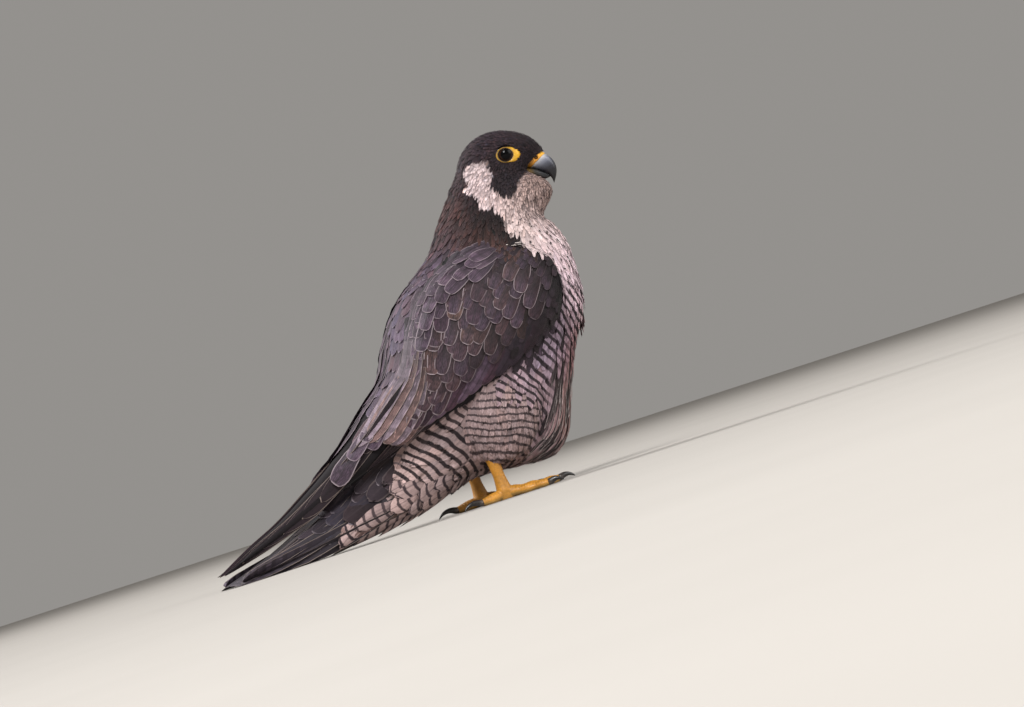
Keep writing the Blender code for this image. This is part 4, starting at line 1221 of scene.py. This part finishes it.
# bill, cere and eyes: their places are in the plane of the head before it turns
def tintedMaterial(name, roughness, grain, **shaderValues):
    # the tone comes with the mesh; mottle and cell are the grain's real sizes in mm
    material, tree, shader = newMaterial(name, roughness, **shaderValues)
    base = addNode(tree, "Attribute", attribute_name="partTone").outputs["Color"]
    place = addNode(tree, "TexCoord").outputs["Object"]
    mottle = addNode(tree, "TexNoise", {"Vector": place, "Scale": 1 / (grain["mottle"] * mm),
                                        "Detail": 4.0}).outputs["Fac"]
    shade, gloss = (addNode(tree, "MapRange", {"Value": mottle, "From Min": 0.3, "From Max": 0.7,
                                               "To Min": low, "To Max": high}).outputs[0]
                    for low, high in ((1 - grain["spread"], 1 + grain["spread"]),
                                      (roughness - 0.06, roughness + 0.08)))
    cells = addNode(tree, "TexVoronoi", {"Vector": place, "Scale": 1 / (grain["cell"] * mm)},
                    feature="DISTANCE_TO_EDGE").outputs["Distance"]
    groove = addNode(tree, "MapRange", {"Value": cells, "From Max": 0.16, "To Min": 1 - grain["groove"],
                                        "To Max": 1.0}).outputs[0]
    both = addNode(tree, "Math", {0: shade, 1: groove}, operation="MULTIPLY").outputs[0]
    colour = addNode(tree, "VectorMath", {0: base, "Scale": both}, operation="SCALE")
    tree.links.new(colour.outputs[0], shader.inputs["Base Color"])
    tree.links.new(gloss, shader.inputs["Roughness"])
    relief = addNode(tree, "Math", {0: groove, 1: mottle}, operation="ADD").outputs[0]
    bump = addNode(tree, "Bump", {"Height": relief, "Strength": grain["relief"],
                                  "Distance": grain["cell"] * 0.25 * mm})
    tree.links.new(bump.outputs["Normal"], shader.inputs["Normal"])
    return material


# horn of the bill: grown in thin layers and polished by wear, so it has a satin shine and fine mottling
billHorn = tintedMaterial(
    "worn bill horn", 0.34, {"mottle": 0.9, "spread": 0.10, "cell": 0.5, "groove": 0.03, "relief": 0.12},
    IOR=1.54, Specular_IOR_Level=0.4, Coat_Weight=0.08, Coat_Roughness=0.25)
# cere and eye ring: soft bare skin with a waxy look and fine pimples
cereSkin = tintedMaterial(
    "waxy cere skin", 0.42, {"mottle": 1.0, "spread": 0.10, "cell": 0.45, "groove": 0.10, "relief": 0.35},
    IOR=1.45, Subsurface_Weight=0.12, Subsurface_Radius=(0.001, 0.0005, 0.0002), Coat_Weight=0.1)
# feet: horny scales on yellow skin, dry and a little dusty
footScales = tintedMaterial(
    "horny foot scales", 0.5, {"mottle": 2.2, "spread": 0.16, "cell": 1.0, "groove": 0.28, "relief": 0.6},
    IOR=1.5, Coat_Weight=0.08)
# claws: hard black horn, smoothest at the point
clawHorn = tintedMaterial(
    "black claw horn", 0.3, {"mottle": 1.4, "spread": 0.22, "cell": 0.9, "groove": 0.04, "relief": 0.15},
    IOR=1.54, Coat_Weight=0.2, Coat_Roughness=0.2)
# eye: a wet clear cornea over a very dark brown iris
wetEye = tintedMaterial(
    "wet dark eye", 0.1, {"mottle": 0.5, "spread": 0.25, "cell": 0.6, "groove": 0.0, "relief": 0.0},
    IOR=1.38, Specular_IOR_Level=0.16, Coat_Weight=0.04, Coat_Roughness=0.02)

billRings = [
    {"top": (111.8, 260.0), "low": (99.5, 250.2), "half": 8.6},
    {"top": (116.1, 257.6), "low": (103.6, 247.6), "half": 8.4},
    {"top": (120.0, 254.3), "low": (107.4, 245.6), "half": 7.7},
    {"top": (123.3, 250.2), "low": (111.2, 243.0), "half": 6.6},
    {"top": (125.2, 245.0), "low": (114.6, 240.0), "half": 5.2},
    {"top": (125.2, 239.8), "low": (117.4, 237.2), "half": 3.7},
    {"top": (123.4, 234.9), "low": (119.3, 233.4), "half": 2.2},
    {"top": (120.0, 229.6), "low": (119.7, 229.9), "half": 0.18},
]
jawRings = [
    {"top": (98.5, 250.5), "low": (100.5, 242.6), "half": 7.8},
    {"top": (103.6, 248.2), "low": (104.4, 240.7), "half": 7.1},
    {"top": (108.2, 246.0), "low": (109.0, 237.6), "half": 6.0},
    {"top": (112.4, 243.0), "low": (113.2, 235.0), "half": 4.4},
    {"top": (117.4, 238.6), "low": (117.6, 235.0), "half": 2.4},
    {"top": (118.5, 237.3), "low": (118.5, 236.3), "half": 0.9},
]
billPlan = {"around": 96, "hornEdge": ((118.8, 253.6), (104.9, 246.2)), "cereSwell": 0.35,
            "nostril": (112.4, 253.0), "pit": 1.75, "deep": 1.6, "rim": 0.35, "peg": 0.42,
            "toothAt": 4.45, "tooth": 0.8, "notchAt": 5.0, "notch": 0.15,
            "mouth": ((101.6, 248.0), (104.9, 246.3), (108.0, 245.3), (111.4, 243.4), (116.4, 238.5))}


def outwards(grid):
    # normals of a closed grid of rings, pointing away from the rings' centres
    ringwise = np.roll(grid, -1, 1) - np.roll(grid, 1, 1)
    normal = unit(np.cross(np.gradient(grid, axis=0), ringwise))
    flip = (normal * (grid - grid.mean(1, keepdims=True))).sum(2).mean()
    return normal if flip > 0 else -normal


def blendTones(value, stops):
    # colours that run from one tone to the next as value passes each stop
    places = [place for place, _ in stops]
    tones = np.array([tone(code) for _, code in stops])
    return np.stack([np.interp(value, places, tones[:, k]) for k in range(3)], -1)


def ringPiece(name, grid, colours, material, slot, *nodes):
    # a closed tube of rings as a piece, with its ends drawn together
    rows, cols, _ = grid.shape
    points, tones = (np.concatenate([part.reshape(-1, 3), part[:1].mean(1), part[-1:].mean(1)])
                     for part in (grid, colours))
    around = [(k, (k + 1) % cols) for k in range(cols)]
    start, end, lastRing = rows * cols, rows * cols + 1, (rows - 1) * cols
    faces = gridFaces(1, rows, cols, closed=True).tolist()
    faces += [(after, k, start) for k, after in around]
    faces += [(lastRing + k, lastRing + after, end) for k, after in around]
    mesh = bpy.data.meshes.new(name)
    mesh.from_pydata(toMetres(points).tolist(), [], faces)
    paint(mesh, "partTone", tones)
    tidy = bmesh.new()
    tidy.from_mesh(mesh)
    bmesh.ops.recalc_face_normals(tidy, faces=tidy.faces)
    tidy.to_mesh(mesh)
    tidy.free()
    mesh.shade_smooth()
    return addPiece(name, mesh, material, slot, *nodes)


def billGrid(rings, starts, ends, rows):
    # rings from one place along the bill to another, each angle with its own start and end
    angle = 2 * math.pi * np.arange(billPlan["around"]) / billPlan["around"]
    share = np.linspace(0, 1, rows)[:, None]
    t = starts[None, :] + (ends - starts)[None, :] * share
    return ringAt(rings, t, np.broadcast_to(angle, t.shape)), t, np.broadcast_to(angle, t.shape)


def hornStart():
    # for each angle round the bill, where the cere ends and the horn begins
    angle = 2 * math.pi * np.arange(billPlan["around"]) / billPlan["around"]
    t = np.linspace(0, 5, 401)
    places = ringAt(billRings, t[:, None], angle[None, :])
    behind = pastLine(places.reshape(-1, 3), billPlan["hornEdge"]).reshape(places.shape[:2]) > 0
    return t[np.argmin(behind, 0)]


def addBill():
    edge = hornStart()
    zero = np.zeros_like(edge)
    # cere
    grid, t, angle = billGrid(billRings, zero, edge, 56)
    away = edge[None, :] - t
    normal = outwards(grid)
    side = np.abs(grid[..., 1]) > 3
    nostrilX, nostrilZ = billPlan["nostril"]
    d = np.where(side, np.hypot(grid[..., 0] - nostrilX, grid[..., 2] - nostrilZ), 9.0)
    pit = 1 - ramp(billPlan["pit"] - 0.45, billPlan["pit"] + 0.2, d)
    lift = billPlan["cereSwell"] * ramp(-0.02, 0.14, away)
    lift = lift + billPlan["rim"] * np.exp(-((d - 2.45) / 0.6) ** 2)
    lift = lift - billPlan["deep"] * pit + billPlan["deep"] * 0.8 * np.exp(-(d / billPlan["peg"]) ** 2)
    grid = grid + normal * lift[..., None]
    mouth = offLine(grid[..., 0], grid[..., 2], billPlan["mouth"])
    # painted light: the cere is lighter on top and darker underneath, as if lit from above
    colour = blendTones(np.cos(angle), [(-1.0, "b9802a"), (-0.2, "c8882a"), (0.4, "dd9c30"), (1.0, "e6b044")])
    # painted shade: the nostril's pit is darkened, apart from its peg
    colour = colour * (1 - 0.93 * pit * (1 - np.exp(-(d / 0.6) ** 2)))[..., None]
    # painted shade in the gape, where the two halves of the bill meet
    colour = colour * (1 - 0.75 * np.exp(-(mouth / 0.4) ** 2))[..., None]
    colour = colour * (0.72 + 0.28 * ramp(0.0, 0.1, away))[..., None]
    ringPiece("cere", toHead(grid), colour, cereSkin, "yellow_cere", "cere")
    # horn
    grid, t, angle = billGrid(billRings, edge - 0.1, zero + 7.0, 76)
    low = ramp(0.55, 0.95, -np.cos(angle))
    drop = billPlan["tooth"] * np.exp(-((t - billPlan["toothAt"]) / 0.2) ** 2)
    drop = drop - billPlan["notch"] * np.exp(-((t - billPlan["notchAt"]) / 0.2) ** 2)
    down = unit(ringAt(billRings, t, math.pi) - ringAt(billRings, t, 0.0) + 1e-6)
    grid = grid + down * (low * drop)[..., None]
    along = (t - edge[None, :]) / (7 - edge[None, :])
    mouth = offLine(grid[..., 0], grid[..., 2], billPlan["mouth"])
    colour = blendTones(along, [(0.0, "b3afaa"), (0.04, "a3a3a6"), (0.12, "7c7e8a"), (0.26, "4c4e59"),
                                (0.40, "2b2b34"), (0.56, "1b1a20"), (0.8, "131216"), (1.0, "100f12")])
    above = np.cos(angle)
    # painted light and shade: the horn is lighter on its upper sides and darker underneath; it is darker
    # again along the ridge
    colour = colour * (0.86 + 0.24 * ramp(-0.9, 0.6, above) - 0.4 * ramp(0.7, 1.0, above))[..., None]
    # painted shade in the gape, where the two halves of the bill meet
    colour = colour * (1 - 0.7 * np.exp(-(mouth / 0.45) ** 2))[..., None]
    ringPiece("bill_upper_horn", toHead(grid), colour, billHorn, "bill_horn", "bill_upper")
    # lower bill
    full = np.full(billPlan["around"], 5.0)
    grid, t, angle = billGrid(jawRings, zero, full, 40)
    mouth = offLine(grid[..., 0], grid[..., 2], billPlan["mouth"])
    # the lower bill's horn tones, dark towards the tip, are partly painted shade under the bill
    colour = blendTones(t, [(0.0, "8f6a28"), (1.1, "69532a"), (1.8, "35322c"), (3.0, "27272a"),
                            (4.0, "1b1b1e")])
    # painted shade in the gape, where the two halves of the bill meet
    colour = colour * (1 - 0.8 * np.exp(-(mouth / 0.5) ** 2))[..., None]
    # painted shade: the lower bill is darker underneath
    colour = colour * (0.75 + 0.25 * ramp(-1.0, -0.4, np.cos(angle)))[..., None]
    ringPiece("bill_lower_horn", toHead(grid), colour, billHorn, "bill_horn", "bill_lower")


addBill()

# eye: its opening and the bare ring round it are measured from the opening's centre, along a tilted line
eyePlan = {"at": (89.5, 262.5), "out": 16.0, "ball": 7.1, "openingAt": (90.0, 261.9), "tilt": -13.0,
           "opening": (5.6, 5.0), "ringBack": 7.6, "ringTip": 12.9, "ringUp": 6.1, "lid": 0.5, "gaze": 9.0,
           "pupil": 36.0, "iris": 62.0}


def faceShell(side):
    # the skin's distance out round an eye, as a smooth shell that passes over the eye's opening
    found = []
    for reach in (9.0, 11.0, 13.0):
        for a in np.linspace(0, 2 * math.pi, 40, endpoint=False):
            dx, dz = reach * math.cos(a), reach * math.sin(a)
            x, z = eyePlan["at"][0] + dx, eyePlan["at"][1] + dz
            start, middle = toHead(np.array([(x, side * 50.0, z), (x, 0.0, z)]))
            hit = skinTree.ray_cast(Vector(start), Vector(unit(middle - start)))
            if hit[0] is not None and 50.0 - hit[3] > 8.0:
                found.append((1.0, dx, dz, dx * dx, dx * dz, dz * dz, 50.0 - hit[3]))
    table = np.array(found)
    fit = np.linalg.lstsq(table[:, :6], table[:, 6], rcond=None)[0]
    return lambda dx, dz: (fit[0] + fit[1] * dx + fit[2] * dz + fit[3] * dx * dx + fit[4] * dx * dz
                           + fit[5] * dz * dz)


def addEye(side, name):
    tilt = math.radians(eyePlan["tilt"])
    centre = np.array([eyePlan["at"][0], side * eyePlan["out"], eyePlan["at"][1]])
    # ball, with its pole on the line of sight
    gaze = math.radians(eyePlan["gaze"])
    axis = np.array([math.sin(gaze), side * math.cos(gaze), -0.05])
    axis = axis / np.linalg.norm(axis)
    right = unit(np.cross(axis, (0, 0, 1.0)))
    top = np.cross(right, axis)
    polar = np.radians(np.concatenate([np.linspace(1.5, 80, 40), np.linspace(86, 178, 14)]))[:, None]
    around = np.linspace(0, 2 * math.pi, 64, endpoint=False)[None, :]
    swell = eyePlan["ball"] + 0.35 * np.exp(-(np.degrees(polar) / 42) ** 2)
    ring = np.cos(around)[..., None] * right + np.sin(around)[..., None] * top
    ball = centre + swell[..., None] * (np.cos(polar)[..., None] * axis + np.sin(polar)[..., None] * ring)
    wide = np.broadcast_to(np.degrees(polar), ball.shape[:2])
    streak = 0.12 * np.sin(around * 23) + 0.1 * np.sin(around * 41 + 1.0)
    pupil, iris = eyePlan["pupil"], eyePlan["iris"]
    colour = blendTones(wide, [(0, "050506"), (pupil - 2, "060607"), (pupil + 2, "2a1a12"),
                               (iris - 8, "2c1b12"), (iris, "1a110d"), (80, "0b0808"), (180, "0b0808")])
    colour = colour * (1 + streak)[..., None]
    ringPiece(f"eyeball_{name}", toHead(ball), colour, wetEye, "dark_iris", f"eye_{name}")
    # ring of bare skin, from the lid's edge on the ball out to the feathers
    shell = faceShell(side)
    a = np.linspace(0, 2 * math.pi, 112, endpoint=False)
    c, s = np.cos(a), np.sin(a)
    inner = np.stack([eyePlan["opening"][0] * c, eyePlan["opening"][1] * s], 1)
    ahead = np.clip(c, 0, 1) ** 0.85
    outer = np.stack([np.where(c > 0, eyePlan["ringTip"] * ahead, eyePlan["ringBack"] * c),
                      eyePlan["ringUp"] * np.where(c > 0, np.sign(s) * (1 - ahead ** 4.6), s)], 1)
    steps = [(-0.05, -0.5), (-0.02, 0.10), (0.0, 0.42), (0.05, 0.62), (0.11, 0.66)]
    rows = []
    for share, rise in steps + [(q, None) for q in (*np.linspace(0.18, 1.0, 14), 1.15, 1.3, 1.45)]:
        flat = inner + (outer - inner) * share
        x = eyePlan["openingAt"][0] + flat[:, 0] * math.cos(tilt) - flat[:, 1] * math.sin(tilt)
        z = eyePlan["openingAt"][1] + flat[:, 0] * math.sin(tilt) + flat[:, 1] * math.cos(tilt)
        reach = np.minimum(np.hypot(x - centre[0], z - centre[2]), eyePlan["ball"] - 0.6)
        onBall = eyePlan["out"] + np.sqrt(eyePlan["ball"] ** 2 - reach ** 2)
        skinOut = shell(x - centre[0], z - centre[2])
        if rise is not None:
            y = onBall + rise
        else:
            ease = share * share * (3 - 2 * share)
            y = (onBall + 0.66) * (1 - ease) + (skinOut + 0.15) * ease + 0.45 * math.sin(math.pi * share)
            y = np.where(share > 0.97, skinOut - 0.3, y)
        away = np.hypot(x - centre[0], z - centre[2])
        covered = eyePlan["out"] + np.sqrt(np.maximum(eyePlan["ball"] ** 2 - away ** 2, 0)) + 0.25
        y = np.where((share > 0.5) & (away < eyePlan["ball"]), np.maximum(y, covered), y)
        rows.append(np.stack([x, side * y, z], 1))
    grid = np.stack(rows)
    gone = np.hypot(*(grid[:, :, (0, 2)] - grid[2:3, :, (0, 2)]).transpose(2, 0, 1))
    wrinkle = 0.10 * np.sin(gone * 2 * math.pi / 0.9) * ramp(0.5, 1.2, gone) * (1 - ramp(4.5, 6.5, gone))
    grid[..., 1] += side * wrinkle
    front = np.clip(c, 0, 1)[None, :]
    # the dark band at the lid's edge is partly painted shade of the lid
    colour = blendTones(gone, [(0.0, "15100e"), (eyePlan["lid"], "1c1410"), (eyePlan["lid"] + 0.45, "b5892f"),
                               (1.6, "c99a30"), (6.0, "d9a31e")])
    colour = colour * (0.62 + 0.5 * front ** 0.7)[..., None]
    colour[-3:] = tone("1d171a")  # the skirt lies in the shade of the feathers
    faces = gridFaces(1, *grid.shape[:2], closed=True)
    mesh = fillMesh(f"eye_ring_{name}", toHead(grid).reshape(-1, 3), faces, None,
                    {"partTone": colour.reshape(-1, 3)})
    addPiece(f"eye_ring_{name}", mesh, cereSkin, "yellow_cere")


for name, side in sides.items():
    addEye(side, name)
print("bill, cere and eyes are placed")

# feet: tarsus and toes grown together, with plates along the top of each toe and down the front of the tarsus
footPlan = {"ankle": (-10.0, 38.0), "foot": (-8.0, 7.2), "out": 29.0, "tarsus": 4.9, "sole": 0.72, "fall": 3,
            "taper": 0.30, "swell": 0.12, "plate": 2.4, "plateHigh": 0.42, "voxel": 0.5, "smoothing": 5,
            "widths": ((0.0, 1.25), (0.3, 1.05), (0.6, 0.95), (0.85, 1.15), (1.0, 1.35)),
            "toes": ({"number": 1, "angle": 174, "long": 23, "radius": 4.3, "pads": 1, "claw": 17.0},
                     {"number": 2, "angle": -32, "long": 34, "radius": 4.3, "pads": 2, "claw": 15.0},
                     {"number": 3, "angle": 0, "long": 48, "radius": 4.2, "pads": 3, "claw": 13.5},
                     {"number": 4, "angle": 33, "long": 38, "radius": 3.8, "pads": 3, "claw": 11.5}),
            "clawBase": 2.6, "clawTip": 0.28, "sweep": 78.0, "rise": 0.38, "clawTaper": 0.8, "gap": 0.32}


def roundTube(path, radii, segments, leaving=None):
    ahead = np.gradient(path, axis=0)
    if leaving is not None:
        ahead[0] = leaving
    across = np.stack([-ahead[:, 1], ahead[:, 0], np.zeros(len(path))], 1)
    across[np.linalg.norm(across, axis=1) < 1e-6] = (0.0, 1.0, 0.0)
    across = unit(across)
    up = unit(np.cross(across, ahead))
    angle = 2 * math.pi * (np.arange(segments) + 0.5) / segments
    ring = across[:, None] * np.sin(angle)[None, :, None] + up[:, None] * np.cos(angle)[None, :, None]
    grid = path[:, None] + ring * radii[:, None, None]
    grid[..., 2] = np.maximum(grid[..., 2], 0.0)
    return grid


def toeWay(toe, side):
    angle = math.radians(toe["angle"])
    return np.array([math.cos(angle), side * math.sin(angle), 0.0])


def toeLine(toe, side, count):
    t = np.linspace(0, 1, count)
    root = np.array([footPlan["foot"][0], side * footPlan["out"], 0.0])
    path = root + toeWay(toe, side) * toe["long"] * t[:, None]
    fall = (footPlan["foot"][1] - toe["radius"]) * (1 - t) ** footPlan["fall"]
    path[:, 2] = toe["radius"] * footPlan["sole"] + fall
    radii = toe["radius"] * (1 + footPlan["swell"] * np.cos(2 * math.pi * toe["pads"] * t + math.pi))
    return path, radii * (1 - footPlan["taper"] * t ** 3)


def legShape(side):
    # one closed surface over the tarsus and its toes
    tubes = [roundTube(*toeLine(toe, side, 24), 24) for toe in footPlan["toes"]]
    (ax, az), (fx, fz) = footPlan["ankle"], footPlan["foot"]
    share = np.linspace(0, 1, 14)
    wide = np.interp(share, *zip(*footPlan["widths"])) * footPlan["tarsus"]
    path = np.stack([ax + (fx - ax) * share, np.full(14, side * footPlan["out"]), az + (fz - az) * share], 1)
    path = np.concatenate([path, [(fx, side * footPlan["out"], 0.0)]])
    tubes.append(roundTube(path, np.append(wide, footPlan["tarsus"] * 1.2), 28))
    shell = bmesh.new()
    for grid in tubes:
        rows, cols, _ = grid.shape
        verts = [[shell.verts.new(point) for point in row] for row in toMetres(grid)]
        for lower, upper in zip(verts, verts[1:]):
            for k in range(cols):
                j = (k + 1) % cols
                shell.faces.new((lower[k], lower[j], upper[j], upper[k]))
        shell.faces.new(verts[0])
        shell.faces.new(verts[-1])
    mesh = oneSurface("leg", shell, footPlan["voxel"], footPlan["smoothing"])
    shell.free()
    return mesh


def addLeg(side, name):
    mesh = legShape(side)
    points, normals = meshPoints(mesh), vertexNormals(mesh)
    nearest = np.full(len(points), 1e9)
    place, topness = np.zeros(len(points)), np.zeros(len(points))
    for toe in footPlan["toes"]:
        path, _ = toeLine(toe, side, 60)
        gap = np.linalg.norm(points[:, None] - path[None], axis=2)
        best = gap.argmin(1)
        closer = gap.min(1) < nearest
        nearest = np.where(closer, gap.min(1), nearest)
        place = np.where(closer, best / 59 * toe["long"], place)
        topness = np.where(closer, normals[:, 2], topness)
    onTarsus = points[:, 2] > 12.0
    place = np.where(onTarsus, points[:, 2] + 0.8 * np.abs(points[:, 1] - side * footPlan["out"]), place)
    topness = np.where(onTarsus, normals[:, 0], topness)
    part = place / footPlan["plate"] % 1
    plate = np.clip(np.sin(math.pi * part), 0, 1) ** 0.45
    onPlate = ramp(0.15, 0.55, topness)
    mouldedIn = footPlan["plateHigh"] * (plate - 1) * onPlate
    points = points + normals * mouldedIn[:, None]
    points[:, 2] = np.maximum(points[:, 2], 0.0)
    movePoints(mesh, points)
    under = ramp(0.1, -0.6, normals[:, 2]) * ~onTarsus
    groove = onPlate * (1 - plate)
    colour = blendTones(under, [(0, "c98a2c"), (1, "a98443")]) * (0.62 + 0.38 * (1 - groove))[:, None]
    colour = colour * (0.9 + 0.16 * waves(*points.T, 3.1))[:, None]
    paint(mesh, "partTone", colour)
    addPiece(f"foot_{name}", mesh, footScales, "yellow_scutes", f"leg_{name}")
    for toe in footPlan["toes"]:
        addClaw(toe, side, name)


def addClaw(toe, side, name):
    ahead = toeWay(toe, side)
    start = np.array([footPlan["foot"][0], side * footPlan["out"], 0.0])
    start += ahead * (toe["long"] + footPlan["gap"])
    start[2] = toe["radius"] * footPlan["sole"]
    sweep = math.radians(footPlan["sweep"])
    t = np.linspace(0, 1, 26)
    begin = -sweep * footPlan["rise"]
    angle = begin + sweep * t
    curve = toe["claw"] / sweep
    path = start + ahead * (curve * (np.sin(angle) - math.sin(begin)))[:, None]
    path[:, 2] += curve * (np.cos(angle) - math.cos(begin))
    radii = footPlan["clawBase"] * (1 - t) ** footPlan["clawTaper"] + footPlan["clawTip"]
    lowest = (path[:, 2] - radii).min()
    path[:, 2] -= min(lowest, 0.0) * t
    grid = roundTube(path, radii, 20, ahead)
    # the base sits inside the toe's end, and the underside is a little flattened
    grid[0] -= ahead * 1.6
    colour = blendTones(np.broadcast_to(t[:, None], grid.shape[:2]),
                        [(0.0, "4b4038"), (0.12, "2b2624"), (0.5, "1b1919"), (1.0, "131212")])
    ringPiece(f"claw_horn_{toe['number']}_{name}", grid, colour, clawHorn, "black_claw",
              f"claw_{toe['number']}_{name}")


for name, side in sides.items():
    addLeg(side, name)
print("feet and claws are placed")


def skinMaterial():
    # thin pale skin under down, which makes it matt and soft, with the plumage's markings
    material, tree, shader = newMaterial("downy skin", 0.9, Sheen_Weight=0.04, Specular_IOR_Level=0.2)
    base = addNode(tree, "Attribute", attribute_name="coatTone").outputs["Color"]
    place = addNode(tree, "TexCoord").outputs["Object"]
    down = addNode(tree, "TexNoise", {"Vector": place, "Scale": 1 / (1.5 * mm), "Detail": 4.0}).outputs["Fac"]
    shade = addNode(tree, "MapRange", {"Value": down, "To Min": 0.45, "To Max": 0.95}).outputs[0]
    colour = addNode(tree, "VectorMath", {0: base, "Scale": shade}, operation="SCALE")
    tree.links.new(colour.outputs[0], shader.inputs["Base Color"])
    bump = addNode(tree, "Bump", {"Height": down, "Strength": 0.5, "Distance": 0.4 * mm})
    tree.links.new(bump.outputs["Normal"], shader.inputs["Normal"])
    return material


def addSkin():
    thigh = np.char.startswith(skinOwner, "thigh")
    colour, _, _ = markings(skinPoints, thigh)
    onWing = np.char.startswith(skinOwner, "wing")
    # painted shade: the skin on the wings is near black, so that the gaps between wing feathers look shaded
    colour = np.where(onWing[:, None], np.array(tone(skinPlan["underWingShade"])), colour)
    paint(skinMesh, "coatTone", colour)
    addPiece("skin", skinMesh, skinMaterial(), "pale_plumage", *fleshNodes)


addSkin()
print("skin is placed")
